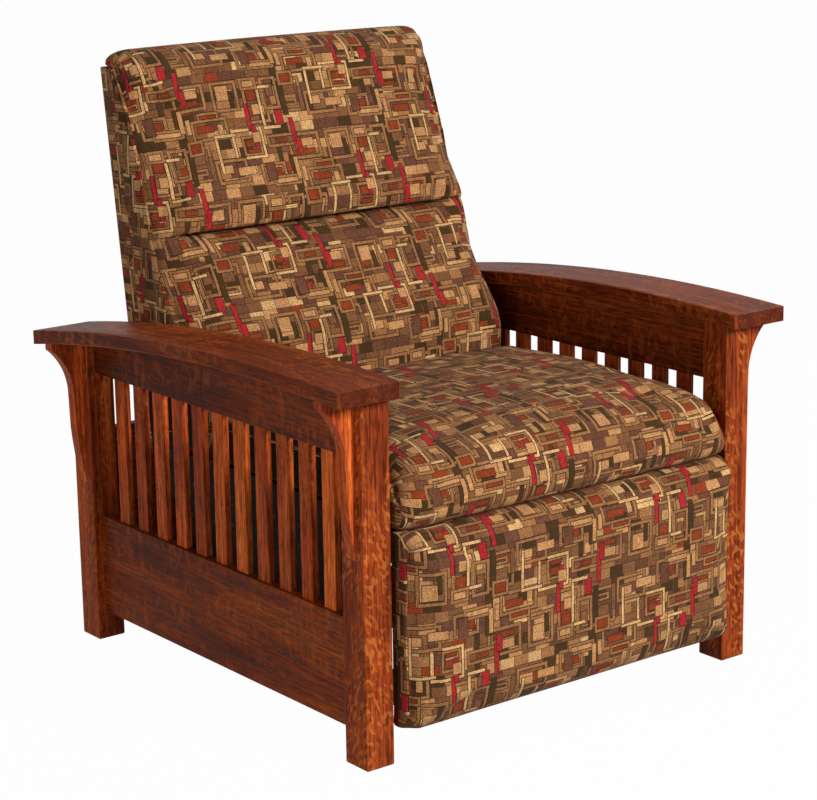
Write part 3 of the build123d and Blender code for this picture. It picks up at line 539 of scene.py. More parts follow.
soft_nodes = ("seat_cushion", "back_cushion", "head_cushion", "footrest_pad", "back_cover")
oak_names = [node for node, look in oak_boards]
for node in nodes:
    if node in oak_names or node in hidden_wood or node in soft_nodes:
        continue
    matches = [material for word, material in metal_words if node.endswith(word)]
    finish(node, matches[0] if matches else black_steel)
print("hidden wood:", len(hidden_wood), "and the rest is metal")

# %% [markdown]
# ## The tapestry cloth
# The chair wears a heavy flat-woven tapestry: bars, open frames and small panels in cream, tan,
# rust, red and olive, each outlined with a dark thread, on a patched and speckled brown ground. The
# design here is drawn for this lesson. It repeats every 208 mm across and down, and every second
# column drops by half a repeat. A motif is a rectangle, and its colours are rings that count
# inwards from its edge: the distance to the edge is
# max(|x - cx| - half width, |y - cy| - half height), and a colour ramp turns that distance into
# rings. A second set of motifs, shifted by half a repeat, covers the places where the first set
# would show its joins. Under all of it lie the patches of the ground, and the threads themselves.
# The renderer has little room to hold values at once. Each motif's place takes in a hair of the
# ground's colour, too small to see, so that the ground comes first and the motifs one by one.

# %% Threads and their colours
cloth_repeat = 208 * millimetre
thread = 1.3 * millimetre
outline = 1.3
ring_reach = 44.0
threads = {
    "ink": paint(52, 34, 21),
    "cream": paint(214, 171, 117),
    "pale": paint(193, 142, 93),
    "tan": paint(157, 110, 69),
    "taupe": paint(126, 84, 53),
    "mauve": paint(106, 67, 48),
    "olive": paint(72, 50, 23),
    "rust": paint(138, 58, 27),
    "red": paint(168, 38, 42),
    "bare": (0.0, 0.0, 0.0, 0.0),
}


def rings(*bands):
    """The ramp stops of a motif, from its middle out to its edge. Each band is a colour and a
    width in millimetres, given from the edge inwards, and an outline thread parts the bands."""
    stops = []
    depth = 0.0
    for colour, width in bands:
        stops.append((depth, "ink"))
        stops.append((depth + outline, colour))
        depth += outline + width
    places = [(1 - reach / ring_reach, colour) for reach, colour in stops]
    colours = [threads[colour] for place, colour in places]
    edges = [place for place, colour in places[1:]] + [0.0]
    return [(max(edge, 0.0), colour) for edge, colour in reversed(list(zip(edges, colours)))]


def block(colour):
    """One colour inside an outline."""
    return ((colour, ring_reach),)


def frame_of(colour, band, core="bare"):
    """A band inside an outline, round a core of another colour or round the bare cloth below."""
    return ((colour, band), (core, ring_reach))


print("thread colours:", len(threads))

# %% [markdown]
# The motifs are listed one by one: the middle and the half size of each rectangle, in millimetres
# within one repeat, and its bands. Later motifs lie over earlier ones. "bare" lets the cloth
# below show through, which makes an open frame.

# %% The motifs
first_motifs = (
    ((-58, 70), (34, 24), frame_of("tan", 5)),
    ((-58, 76), (20, 8), block("pale")),
    ((-58, 60), (20, 5), block("rust")),
    ((14, 66), (27, 28), frame_of("tan", 5)),
    ((10, 72), (13, 14), block("pale")),
    ((26, 60), (5, 15), block("olive")),
    ((72, 50), (24, 38), frame_of("tan", 5)),
    ((66, 66), (10, 12), block("rust")),
    ((74, 38), (13, 10), block("pale")),
    ((88, 62), (4, 18), block("cream")),
    ((-30, 12), (38, 20), frame_of("tan", 5)),
    ((-38, 14), (18, 7), block("rust")),
    ((-8, 10), (6, 10), block("pale")),
    ((-88, 14), (8, 42), block("olive")),
    ((-72, 22), (5, 14), block("pale")),
    ((40, -20), (32, 28), frame_of("cream", 4.5)),
    ((46, -24), (20, 18), frame_of("tan", 4)),
    ((46, -20), (12, 7), block("rust")),
    ((46, -34), (12, 4), block("rust")),
    ((-66, -46), (28, 32), frame_of("tan", 5)),
    ((-66, -36), (15, 11), block("taupe")),
    ((-66, -60), (15, 7), frame_of("tan", 3.5, "mauve")),
    ((-4, -64), (32, 22), frame_of("tan", 5)),
    ((-14, -60), (12, 8), block("pale")),
    ((12, -62), (6, 12), block("mauve")),
    ((76, -76), (26, 20), frame_of("tan", 5)),
    ((80, -74), (13, 8), block("rust")),
    ((50, 26), (4.5, 24), block("red")),
    ((56, -8), (5, 20), block("red")),
    ((-22, -34), (3.6, 34), block("cream")),
    ((-4, -2), (22, 3.4), block("cream")),
    ((96, -22), (5, 34), block("olive")),
    ((-96, -84), (8, 14), block("red")),
)
second_motifs = (
    ((0, 12), (18, 30), frame_of("tan", 5)),
    ((0, 18), (8, 12), block("taupe")),
    ((-24, -12), (3.6, 38), block("cream")),
    ((-10, -48), (18, 3.6), block("cream")),
    ((-12, 24), (15, 3.6), block("cream")),
    ((24, -2), (6, 28), block("olive")),
    ((-40, 32), (18, 12), frame_of("tan", 4.5, "pale")),
    ((38, 36), (17, 14), frame_of("tan", 4.5, "rust")),
    ((-6, 66), (28, 10), frame_of("tan", 4, "pale")),
    ((-34, 84), (10, 16), block("mauve")),
    ((20, 86), (5, 22), block("pale")),
    ((4, -72), (32, 12), frame_of("tan", 4.5, "taupe")),
    ((2, -72), (12, 4), block("rust")),
    ((30, -60), (5, 26), block("red")),
    ((36, -84), (6, 14), block("red")),
    ((-46, -62), (9, 10), block("pale")),
    ((76, 86), (22, 9), frame_of("tan", 4, "rust")),
    ((-80, 90), (18, 8), block("pale")),
    ((62, -4), (5, 22), block("taupe")),
)
print("motifs in one repeat:", len(first_motifs) + len(second_motifs))

# %% The cloth recipe
patch_size = (27 * millimetre, 17 * millimetre, 1.0)
patch_stops = (
    (0.0, threads["mauve"]),
    (0.24, threads["taupe"]),
    (0.46, threads["tan"]),
    (0.66, threads["pale"]),
    (0.80, threads["olive"]),
    (0.90, threads["rust"]),
    (0.94, threads["cream"]),
)
row_start_reach = 5.0
patch_line_widths = (0.045, 0.075)
patch_line_share = 0.7
second_draw = 7.3
striped_share = 0.45
stripes_in_patch = 6.0
stripe_width = 0.36
stripe_depth = 0.34
motif_sets = ((first_motifs, (0.0, 0.0)), (second_motifs, (0.5, 0.25)))
thread_tones = (0.58, 1.22)
slubs_in_metre = (420, 40, 1)
slub_detail = 2.0
slub_tones = (0.88, 1.1)
weave_bump_depth = 0.25 * millimetre
weave_bump_strength = 0.6
cloth_roughness = (0.78, 0.95)
cloth_finish = {"Specular IOR Level": 0.12, "Sheen Weight": 0.02, "Sheen Roughness": 0.5}
# Painted shade: the dark colour of the cushions' hidden side panels between the slats.
painted_shade_colour = paint(30, 23, 18)
painted_shade_fade = 12 * millimetre
side_facing_range = (0.72, 0.88)
too_small_to_see = 1e-7


def cloth_cell(tree, cloth, shift):
    """Where a thread lies in its repeat, in millimetres from the middle: across is u and up is
    v, and odd columns drop by half a repeat. shift moves the grid, in repeats."""
    across, up = split(tree, calculate_each(tree, "ADD", cloth, (*shift, 0.0)))[:2]
    column = calculate(tree, "FLOOR", across)
    drop = calculate(tree, "MULTIPLY", calculate(tree, "FLOORED_MODULO", column, 2.0), 0.5)
    in_column = calculate(tree, "SUBTRACT", calculate(tree, "FRACT", across), 0.5)
    dropped = calculate(tree, "ADD", up, drop)
    in_row = calculate(tree, "SUBTRACT", calculate(tree, "FRACT", dropped), 0.5)
    cell = add_node(tree, "CombineXYZ", {0: in_column, 1: in_row}).outputs[0]
    return calculate_each(tree, "MULTIPLY", cell, (cloth_repeat / millimetre,) * 3)


def weave_motif(tree, colour, cell, middle, half, bands):
    """Lay one motif over the cloth: rings of colour by the distance to its edge."""
    offset = calculate_each(tree, "SUBTRACT", cell, (*middle, 0.0))
    size = calculate_each(tree, "ABSOLUTE", offset)
    parts = split(tree, calculate_each(tree, "SUBTRACT", size, (*half, 0.0)))
    edge = calculate(tree, "MAXIMUM", parts[0], parts[1])
    share = calculate(tree, "MULTIPLY_ADD", edge, 1 / ring_reach, 1.0)
    stops = rings(*bands)
    ring = colour_ramp(tree, share, stops + [(1.0, threads["bare"])], "CONSTANT")
    return mix_paint(tree, ring.outputs[1], colour, ring.outputs[0])


def patched_ground(tree, flat):
    """The ground of the cloth: patches laid like bricks, each row at its own start, outlined and
    coloured by chance. The stops of the ramp say how often each colour comes. Also gives 1 on the
    stripes that cross some of the patches, which tapestry lays over the motifs too."""
    across, up = split(tree, calculate_each(tree, "DIVIDE", flat, patch_size))[:2]
    row = calculate(tree, "FLOOR", up)
    start = add_node(tree, "TexWhiteNoise", {"W": row}, noise_dimensions="1D").outputs[0]
    moved = calculate(tree, "ADD", across, product(tree, start, row_start_reach))
    number = add_node(tree, "CombineXYZ", {0: calculate(tree, "FLOOR", moved), 1: row}).outputs[0]
    chance = add_node(tree, "TexWhiteNoise", {"Vector": number}, noise_dimensions="2D").outputs[0]
    colour = colour_ramp(tree, chance, patch_stops, "CONSTANT").outputs[0]
    near_side = calculate(tree, "LESS_THAN", calculate(tree, "FRACT", moved), patch_line_widths[0])
    near_foot = calculate(tree, "LESS_THAN", calculate(tree, "FRACT", up), patch_line_widths[1])
    line = product(tree, calculate(tree, "MAXIMUM", near_side, near_foot), patch_line_share)
    ground = mix_paint(tree, line, colour, threads["ink"])
    again = calculate(tree, "FRACT", product(tree, chance, second_draw))
    striped = calculate(tree, "LESS_THAN", again, striped_share)
    in_stripe = calculate(tree, "FRACT", product(tree, up, stripes_in_patch))
    stripe = product(tree, calculate(tree, "LESS_THAN", in_stripe, stripe_width), striped)
    return ground, stripe


def painted_shade_on_sides(tree, shaded_from):
    """1 on the side panels behind and below a place, as (y, z) in metres, where a dark painted shade
    takes over from the woven cloth, else 0."""
    sideways = facing(tree, 0)[0]
    place = split(tree, place_on_object(tree))
    behind = spread(tree, place[1], shaded_from[0], shaded_from[0] + painted_shade_fade)
    below = spread(tree, place[2], shaded_from[1] + painted_shade_fade, shaded_from[1])
    on_side = spread(tree, sideways, *side_facing_range)
    return product(tree, on_side, product(tree, behind, below))


def tapestry(name, shift, shaded_from=None):
    """The woven cloth, laid by the piece's UV map in metres of cloth. shift, in repeats, places the
    design on the piece. The last argument says behind and below which place, as (y, z) in metres,
    the side panels are painted dark instead, as painted shade, where the chair hides and shades them."""
    material, tree, shader = start_material(name)
    flat = add_node(tree, "UVMap", uv_map="cloth").outputs[0]
    laid = {"Vector": flat, "Scale": (1 / cloth_repeat,) * 3, "Location": (*shift, 0.0)}
    place = add_node(tree, "Mapping", laid).outputs[0]
    colour, stripe = patched_ground(tree, flat)
    hair = calculate_each(tree, "MULTIPLY", colour, (too_small_to_see,) * 3)
    cloth = calculate_each(tree, "ADD", place, hair)
    counted = calculate_each(tree, "MULTIPLY", flat, (1 / thread,) * 3)
    knot = calculate_each(tree, "FLOOR", counted)
    chance = add_node(tree, "TexWhiteNoise", {"Vector": knot}, noise_dimensions="2D").outputs[0]

    for motifs, grid_shift in motif_sets:
        cell = cloth_cell(tree, cloth, grid_shift)
        for middle, half, bands in motifs:
            colour = weave_motif(tree, colour, cell, middle, half, bands)

    slub = wood_noise(tree, flat, slubs_in_metre, slub_detail)
    speckle = spread(tree, chance, 0.0, 1.0, *thread_tones)
    shade = product(tree, speckle, spread(tree, slub, *middle_range, *slub_tones))
    shade = product(tree, shade, calculate(tree, "MULTIPLY_ADD", stripe, -stripe_depth, 1.0))
    shade_colour = add_node(tree, "CombineColor", {0: shade, 1: shade, 2: shade}).outputs[0]
    colour = mix_paint(tree, 1.0, colour, shade_colour, "MULTIPLY")
    if shaded_from:
        # Painted shade on the hidden side panels.
        colour = mix_paint(tree, painted_shade_on_sides(tree, shaded_from), colour, painted_shade_colour)
    tree.links.new(colour, shader.inputs["Base Color"])

    turns = calculate_each(tree, "MULTIPLY", counted, (2 * math.pi,) * 3)
    warp, weft = split(tree, calculate_each(tree, "SINE", turns))[:2]
    height = calculate(tree, "ADD", product(tree, warp, weft), chance)
    add_bump(tree, shader, height, weave_bump_depth, weave_bump_strength)
    tree.links.new(spread(tree, chance, 0.0, 1.0, *cloth_roughness), shader.inputs["Roughness"])
    for socket, value in cloth_finish.items():
        shader.inputs[socket].default_value = value
    return material


print("cloth repeat:", cloth_repeat, "m")

# %% [markdown]
# ## Upholstered forms
# Each cushion is a closed form swept across the chair. Its side view is a smooth loop, and a
# spine inside the loop says which way is inwards. Across the chair the loop stays whole until the
# edge radius begins, then sinks along a quarter circle, and the side panel closes on the spine.
# The crown lowers the cushion towards both ends. The cloth's own map is laid at the same time: it
# measures along the loop and across the chair, and the side panels are cut flat.

# %% Curves for side views
samples_per_span = 32


def smooth_loop(points, spacing, closer):
    """A closed curve that control points pull on, the cubic B-spline: on each span it is
    ((1-t)^3 a + (3t^3-6t^2+4) b + (-3t^3+3t^2+3t+1) c + t^3 d) / 6.
    closer says how many times closer than the spacing its points lie at each place. Gives an even
    number of points and how far along the loop each lies, its whole length last."""
    a = np.asarray(points, float)[:, None, :]
    b, c, d = (np.roll(a, -step, axis=0) for step in (1, 2, 3))
    t = np.linspace(0, 1, samples_per_span, endpoint=False)[None, :, None]
    spans = (1 - t) ** 3 * a + (3 * t**3 - 6 * t**2 + 4) * b
    spans = (spans + (-3 * t**3 + 3 * t**2 + 3 * t + 1) * c + t**3 * d) / 6
    fine = spans.reshape(-1, 2)
    fine = np.vstack((fine, fine[:1]))
    steps = np.linalg.norm(np.diff(fine, axis=0), axis=1)
    along = np.concatenate(([0.0], np.cumsum(steps)))
    density = np.ones(len(fine)) if closer is None else closer(fine)
    counted = np.concatenate(([0.0], np.cumsum(steps * (density[:-1] + density[1:]) / 2)))
    marks = np.linspace(0, counted[-1], 2 * round(counted[-1] / spacing / 2) + 1)
    loop = np.stack([np.interp(marks, counted, fine[:, axis]) for axis in (0, 1)], axis=1)
    return loop[:-1], np.interp(marks, counted, along)


def nearest_on(spine, points):
    """For each point, the nearest place on a line of straight runs."""
    start = np.asarray(spine, float)[:-1]
    run = np.diff(np.asarray(spine, float), axis=0)
    share = np.einsum("psk,sk->ps", points[:, None] - start, run) / (run**2).sum(axis=1)
    feet = start + np.clip(share, 0, 1)[..., None] * run
    distance = np.linalg.norm(points[:, None] - feet, axis=2)
    return feet[np.arange(len(points)), distance.argmin(axis=1)]


def soft_step(value, low, high):
    """0 below low, 1 above high, and 3s^2 - 2s^3 between them."""
    share = np.clip((value - low) / (high - low), 0, 1)
    return share * share * (3 - 2 * share)


print("curves ready")

# %% The padded form
cloth_spacing = 7.5 * millimetre
edge_closeness = 1.6
side_close_share = 0.88
deepest_sink = 0.8


def across_stations(half_width, edge_radius, side_depth):
    """The way from one side panel's middle over the cushion to the other's. For each station:
    x, how far it sinks, its share of the way to the spine, and its measure on the cloth. Stations
    lie closer by edge_closeness round the edge."""
    reach = half_width - edge_radius
    flat = np.linspace(0, reach, max(2, round(reach / cloth_spacing)))
    turn = np.linspace(0, math.pi / 2, max(4, round(edge_radius * edge_closeness / cloth_spacing)))[1:]
    side = np.linspace(0, side_close_share, max(4, round(side_depth / cloth_spacing)))[1:]
    x = np.concatenate((flat, reach + edge_radius * np.sin(turn), half_width + 0 * side))
    sink = np.concatenate((0 * flat, edge_radius * (1 - np.cos(turn)), edge_radius + 0 * side))
    close = np.concatenate((0 * flat, 0 * turn, side))
    cloth = np.concatenate((flat, reach + edge_radius * turn, half_width + 0 * side))
    signed = ((-1, x), (1, sink), (1, close), (-1, cloth))
    return [np.concatenate((sign * half[:0:-1], half)) for sign, half in signed]


def cloth_piece(name, points, faces, cloth):
    """An object from points, four-sided faces and a place on the cloth, in metres, for each corner
    of each face."""
    mesh = bpy.data.meshes.new(name)
    mesh.from_pydata(points.reshape(-1, 3).tolist(), [], faces.tolist())
    mesh.uv_layers.new(name="cloth").data.foreach_set("uv", cloth.ravel())
    mesh.polygons.foreach_set("use_smooth", np.ones(len(faces), bool))
    return add_object(name, mesh)


def padded_form(
    name,
    controls,
    spine,
    half_width,
    edge_radius,
    crown,
    show,
    rounded,
    side_bow,
    push=None,
    closer=None,
):
    """A closed cushion. Its points are (x, loop + inward * sink). The sink is the rounded edge, in
    the share that rounded gives for each place of the loop, and crown * (x / half width)^2 on the
    side that shows. push moves the cloth of a crease, and closer sets its points closer there. The
    side panels run on to the spine and bow out by side_bow * sin(pi * share)."""
    loop, places = smooth_loop(controls, cloth_spacing, closer)
    count = len(loop)
    core = nearest_on(spine, loop)
    depth = np.linalg.norm(core - loop, axis=1)
    inward = (core - loop) / depth[:, None]
    x, sink, close, cloth = across_stations(half_width, edge_radius, float(np.median(depth)))
    showing = np.clip(-(inward @ np.asarray(show)), 0, 1)
    sunk = np.minimum(sink[None] * rounded(loop)[:, None], deepest_sink * depth[:, None])
    sunk = sunk + crown * showing[:, None] * (x[None] / half_width) ** 2 * (1 - close[None])
    rim = loop[:, None] + inward[:, None] * sunk[..., None]
    if push is not None:
        rim = rim + push(loop, x / half_width)
    flat = rim + close[None, :, None] * (core[:, None] - rim)
    bulge = np.sign(x) * side_bow * np.sin(math.pi * close)
    sideways = np.broadcast_to((x + bulge)[None, :, None], flat.shape[:2] + (1,))
    points = np.concatenate((sideways, flat), axis=2)

    across = len(x)
    row = np.arange(count)[:, None]
    column = np.arange(across - 1)[None]
    after = (row + 1) % count
    quads = [row * across + column, after * across + column]
    quads += [after * across + column + 1, row * across + column + 1]
    faces = np.stack([np.broadcast_to(q, (count, across - 1)) for q in quads], axis=2).reshape(-1, 4)
    step = np.arange(count // 2 - 1)
    zips = []
    for edge in (0, across - 1):
        ring = np.stack((step, step + 1, count - 2 - step, count - 1 - step), axis=1)
        zips.append(ring * across + edge)
    all_faces = np.vstack([faces, *zips])

    on_side = (close[:-1] + close[1:] > 0)[None]
    up = places[:-1][:, None] * np.ones((1, across - 1))
    next_up = places[1:][:, None] * np.ones((1, across - 1))
    left = cloth[None, :-1] * np.ones((count, 1))
    right = cloth[None, 1:] * np.ones((count, 1))
    wrapped = np.stack((left, up, left, next_up, right, next_up, right, up), axis=2)
    wrapped = wrapped.reshape(count, across - 1, 4, 2)
    corners = points.reshape(-1, 3)[all_faces][..., 1:]
    cut_flat = corners[: len(faces)].reshape(count, across - 1, 4, 2)
    laid = np.where(on_side[..., None, None], cut_flat, wrapped).reshape(-1, 2)
    laid = np.vstack((laid, corners[len(faces):].reshape(-1, 2)))

    piece = cloth_piece(name, points, all_faces, laid)
    shape = bmesh.new()
    shape.from_mesh(piece.data)
    bmesh.ops.recalc_face_normals(shape, faces=shape.faces)
    shape.to_mesh(piece.data)
    shape.free()
    facts = {
        "showing": np.repeat(showing, across),
        "close": np.tile(close, count),
        "sink": np.tile(sink, count),
        "loop": np.repeat(loop, across, axis=0),
    }
    print(name, "has", len(all_faces), "faces, half width", round(half_width, 3))
    return piece, facts


# %% [markdown]
# ## Filling the cushions
# Foam under tight cloth is not a ruled form: the cloth swells between its seams and draws in
# beside them. A short cloth simulation with air pressure gives that. What rests on the frame is
# pinned, and so are the seams, and no point may move further than its limit, so the cushion
# stays in its place. The result is written into the mesh, and a subdivision smooths it.

# %% The filling
filling_frames = 20
filling_settings = {
    "use_pressure": True,
    "uniform_pressure_force": 4.0,
    "quality": 6,
    "tension_stiffness": 30,
    "compression_stiffness": 30,
    "shear_stiffness": 12,
    "bending_stiffness": 4,
}


def at_vertices(mesh, what):
    """A vector for each vertex of a mesh as one array: its place is "co", its normal "normal"."""
    values = np.empty(len(mesh.vertices) * 3)
    mesh.vertices.foreach_get(what, values)
    return values.reshape(-1, 3)


def move_vertices(piece, points):
    """Put the vertices of a piece at new places."""
    piece.data.vertices.foreach_set("co", points.ravel())
    piece.data.update()


def fill_with_air(piece, pinned, limit):
    """Swell the piece by cloth simulation. pinned is a weight for each vertex, and limit how far
    each may move, in metres."""
    start = at_vertices(piece.data, "co")
    group = piece.vertex_groups.new(name="held")
    for weight in np.unique(np.round(pinned, 1)):
        members = np.nonzero(np.round(pinned, 1) == weight)[0]
        group.add(members.tolist(), float(weight), "REPLACE")
    cloth = piece.modifiers.new("filling", "CLOTH")
    cloth.settings.vertex_group_mass = group.name
    for setting, value in filling_settings.items():
        setattr(cloth.settings, setting, value)
    cloth.settings.effector_weights.gravity = 0
    cloth.point_cache.frame_end = filling_frames
    for number in range(1, filling_frames + 1):
        bpy.context.scene.frame_set(number)
    ready = piece.evaluated_get(bpy.context.evaluated_depsgraph_get()).to_mesh()
    step = at_vertices(ready, "co") - start
    piece.evaluated_get(bpy.context.evaluated_depsgraph_get()).to_mesh_clear()
    piece.modifiers.clear()
    piece.vertex_groups.clear()
    bpy.context.scene.frame_set(1)
    length = np.linalg.norm(step, axis=1)
    capped = step * np.minimum(1, limit / np.maximum(length, 1e-9))[:, None]
    move_vertices(piece, start + capped)
    print(piece.name, "swelled by up to", round(float(length.max()) / millimetre, 1), "mm")


def draw_in(piece, amount):
    """Move each vertex against its normal by an amount in metres."""
    inward = at_vertices(piece.data, "normal") * amount[:, None]
    move_vertices(piece, at_vertices(piece.data, "co") - inward)


def resting(facts, share):
    """The weight that pins each vertex: 1 where the cushion rests on the frame, and 0 where it
    shows by more than the share."""
    return soft_step(facts["showing"], share, 0.0)


def swell(piece, facts, held, side_limit, limit, seam_depth):
    """Fill a cushion between its seams, draw the seams in, and round the mesh. held is a weight
    for each vertex that rests on the frame, and the limits say how far the side panels and the
    rest may move."""
    seam = (facts["close"] == 0) & (facts["sink"] >= facts["sink"].max())
    limits = np.where(facts["close"] > 0, side_limit, limit)
    fill_with_air(piece, np.clip(held + seam, 0, 1), limits)
    draw_in(piece, seam * seam_depth)
    rounding = piece.modifiers.new("rounding", "SUBSURF")
    rounding.levels = rounding.render_levels = 1


def upholster(piece, material, body, replaced):
    """Dress a finished cushion, say what it rides on, and hide the parts that it stands for."""
    piece.data.materials.append(material)
    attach(piece, body)
    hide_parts(*replaced)


print("filling:", filling_frames, "frames with", filling_settings)

# %% [markdown]
# ## The seat cushion
# A deep block of foam with a crown, which rolls over the front in one large curve, the waterfall,
# hangs full over the front rail, and rests flat on the deck. Its side view is listed as shares of
# the box that the CAD keeps for it: how far from the front, and how high. Its hidden sides, which
# show only as darkness between the slats, are painted dark, as painted shade.

# %% Seat cushion
seat_shares = (
    (1.0, 0.50), (1.0, 0.72), (0.975, 0.86), (0.90, 0.92), (0.74, 0.965), (0.55, 0.99),
    (0.36, 1.0), (0.20, 1.0), (0.10, 0.97), (0.035, 0.88), (0.0, 0.70), (-0.012, 0.46),
    (-0.008, 0.20), (0.012, 0.01), (0.045, -0.075), (0.10, -0.075), (0.16, -0.02), (0.24, 0.0),
    (0.50, 0.0), (0.80, 0.0), (0.95, 0.0), (0.995, 0.08), (1.0, 0.25),
)
seat_low, seat_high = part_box("seat_cushion")
seat_square_share = 0.25
seat_round_above = 45 * millimetre
# Behind and below this place the seat's side panels are painted dark, as painted shade.
seat_shaded_from = (-0.35, 0.49)


def in_box(low, high, shares):
    """Points of a side view, from shares of a box's depth and height."""
    depth, height = high.y - low.y, high.z - low.z
    return [(low.y + along * depth, low.z + up * height) for along, up in shares]


def seat_rounded(loop):
    """The seat's side edges are square on the deck and round above it."""
    above_deck = soft_step(loop[:, 1], seat_low.z, seat_low.z + seat_round_above)
    return seat_square_share + (1 - seat_square_share) * above_deck


seat_spine = in_box(seat_low, seat_high, ((0.13, 0.47), (0.88, 0.45)))
seat, seat_facts = padded_form(
    "seat_cushion_tapestry",
    in_box(seat_low, seat_high, seat_shares),
    seat_spine,
    half_width=seat_high.x - 2 * millimetre,
    edge_radius=34 * millimetre,
    crown=14 * millimetre,
    show=(-0.5, 0.87),
    rounded=seat_rounded,
    side_bow=3 * millimetre,
)
swell(
    seat,
    seat_facts,
    held=resting(seat_facts, share=0.25),
    side_limit=3 * millimetre,
    limit=9 * millimetre,
    seam_depth=1.5 * millimetre,
)
seat_cloth = tapestry("tapestry_seat", (0.18, 0.30), seat_shaded_from)
upholster(seat, seat_cloth, "seat", ["seat_cushion"])

# %% [markdown]
# ## The footrest pad
# A board covered with foam and pulled tight: nearly flat, with a soft roll at all four edges. The
# cloth goes on round the edges of the board to its back, where it is stapled.

# %% Footrest pad
footrest_shares = (
    (0.55, -0.006), (0.94, -0.004), (1.03, -0.004), (1.03, 0.0), (1.0, 0.05), (1.0, 0.12),
    (1.0, 0.35), (1.0, 0.65), (1.0, 0.88), (1.0, 0.95), (1.03, 1.0), (1.03, 1.004),
    (0.94, 1.004), (0.55, 1.006), (0.18, 1.0), (0.0, 0.965), (-0.03, 0.90), (-0.01, 0.72),
    (0.0, 0.50), (-0.01, 0.28), (-0.03, 0.10), (0.0, 0.035), (0.18, 0.0),
)
pad_low, pad_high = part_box("footrest_pad")
pad_high.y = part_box("footrest_board")[1].y + 2 * millimetre
board_square_share = 0.08
pad_turn = (18 * millimetre, 40 * millimetre)


def pad_rounded(loop):
    """The pad's edges are square at its board and round in front."""
    ahead = soft_step(loop[:, 0], pad_high.y - pad_turn[0], pad_high.y - pad_turn[1])
    return board_square_share + (1 - board_square_share) * ahead


pad_spine = in_box(pad_low, pad_high, ((0.5, 0.085), (0.5, 0.915)))
pad, pad_facts = padded_form(
    "footrest_tapestry",
    in_box(pad_low, pad_high, footrest_shares),
    pad_spine,
    half_width=pad_high.x - 1.5 * millimetre,
    edge_radius=22 * millimetre,
    crown=5 * millimetre,
    show=(-1.0, 0.0),
    rounded=pad_rounded,
    side_bow=1 * millimetre,
)
swell(
    pad,
    pad_facts,
    held=resting(pad_facts, share=0.2),
    side_limit=2 * millimetre,
    limit=6 * millimetre,
    seam_depth=1.2 * millimetre,
)
pad_cloth = tapestry("tapestry_footrest", (0.05, 0.62))
upholster(pad, pad_cloth, "footrest", ["footrest_pad"])

# %% [markdown]
# ## The back
# The back is one wrapped form on a leaning frame: a full lower cushion, a head pillow above it,
# and a deep crease between them that fades into the borders. Heights are shares of the back's
# height, and depths are shares of the lower cushion's greatest depth, both measured from the
# front of the frame. The crease pushes the cloth back, sharply above, where the pillow hangs over,
# and slower below: depth * exp(-distance / width). At the rear the edges are square and lie inside
# the shell that comes over them.

# %% Back cushions
back_lean = math.tan(math.radians(7.1))
back_shares = (
    (0.30, 0.0), (0.54, 0.0), (0.70, 0.006), (0.80, 0.035), (0.86, 0.09), (0.93, 0.15),
    (0.985, 0.205), (0.99, 0.245), (0.93, 0.30), (0.845, 0.35), (0.76, 0.40), (0.685, 0.45),
    (0.635, 0.50), (0.61, 0.535), (0.60, 0.56), (0.59, 0.585), (0.56, 0.61), (0.48, 0.68),
    (0.39, 0.78), (0.30, 0.88), (0.265, 0.945), (0.225, 0.985), (0.11, 1.003), (-0.06, 1.003),
    (-0.17, 0.99), (-0.21, 0.972), (-0.20, 0.962), (-0.12, 0.9605), (-0.06, 0.955),
    (-0.055, 0.93), (-0.055, 0.70), (-0.055, 0.40), (-0.055, 0.10), (-0.045, 0.01), (0.10, 0.0),
)
lower_depth = 210 * millimetre
lower_low, lower_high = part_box("back_cushion")
head_low, head_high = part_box("head_cushion")
cover_low, cover_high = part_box("back_cover")
back_bottom = lower_low.z
back_height = head_high.z - back_bottom
crease_height = (lower_high.z + head_low.z) / 2
crease_depth = 54 * millimetre
crease_above = 6 * millimetre
crease_below = 13 * millimetre
crease_reach = 30 * millimetre
crease_closeness = 2
crease_pin = 10 * millimetre
crease_fade = 0.85
crease_fade_range = (0.76, 0.97)
lip_drop = 10 * millimetre
lip_height = 15 * millimetre
front_from = 0.2 * lower_depth
back_square_share = 0.08
back_turn = 55 * millimetre
shell_edge = (-4 * millimetre, 12 * millimetre)
above_shell_share = 0.45
# Behind and below this place the back's side panels are painted dark, as painted shade.
back_shaded_from = (-0.4, 0.48)


def frame_front(height):
    """Where the front of the leaning frame is, at a height above the floor."""
    return cover_low.y + (height - cover_low.z) * back_lean


def on_back(shares):
    """Points of the back's side view, from shares of the depth and of the height."""
    heights = [back_bottom + up * back_height for out, up in shares]
    return [(frame_front(z) - out * lower_depth, z) for (out, up), z in zip(shares, heights)]


def in_front(loop):
    """1 where the loop is well in front of the frame, else 0."""
    return loop[:, 0] < frame_front(loop[:, 1]) - front_from


def crease(loop, across):
    """How the crease moves the cloth, as (y, z): back into the dent, and down along the pillow's
    lip, which hangs over it by lip_drop * exp(-((height - lip_height) / lip_height)^2). Both fade
    towards the sides."""
    above = loop[:, 1] - crease_height
    width = np.where(above > 0, crease_above, crease_below)
    back_in = crease_depth * np.exp(-np.abs(above) / width) * in_front(loop)
    down = -lip_drop * np.exp(-(((above - lip_height) / lip_height) ** 2)) * in_front(loop)
    fade = 1 - crease_fade * soft_step(np.abs(across), *crease_fade_range)
    return np.stack((back_in, down), axis=1)[:, None] * fade[None, :, None]


def closer_at_crease(loop):
    """The cloth's points lie up to three times closer in the crease."""
    near = np.exp(-(((loop[:, 1] - crease_height) / crease_reach) ** 2))
    return 1 + crease_closeness * near * in_front(loop)


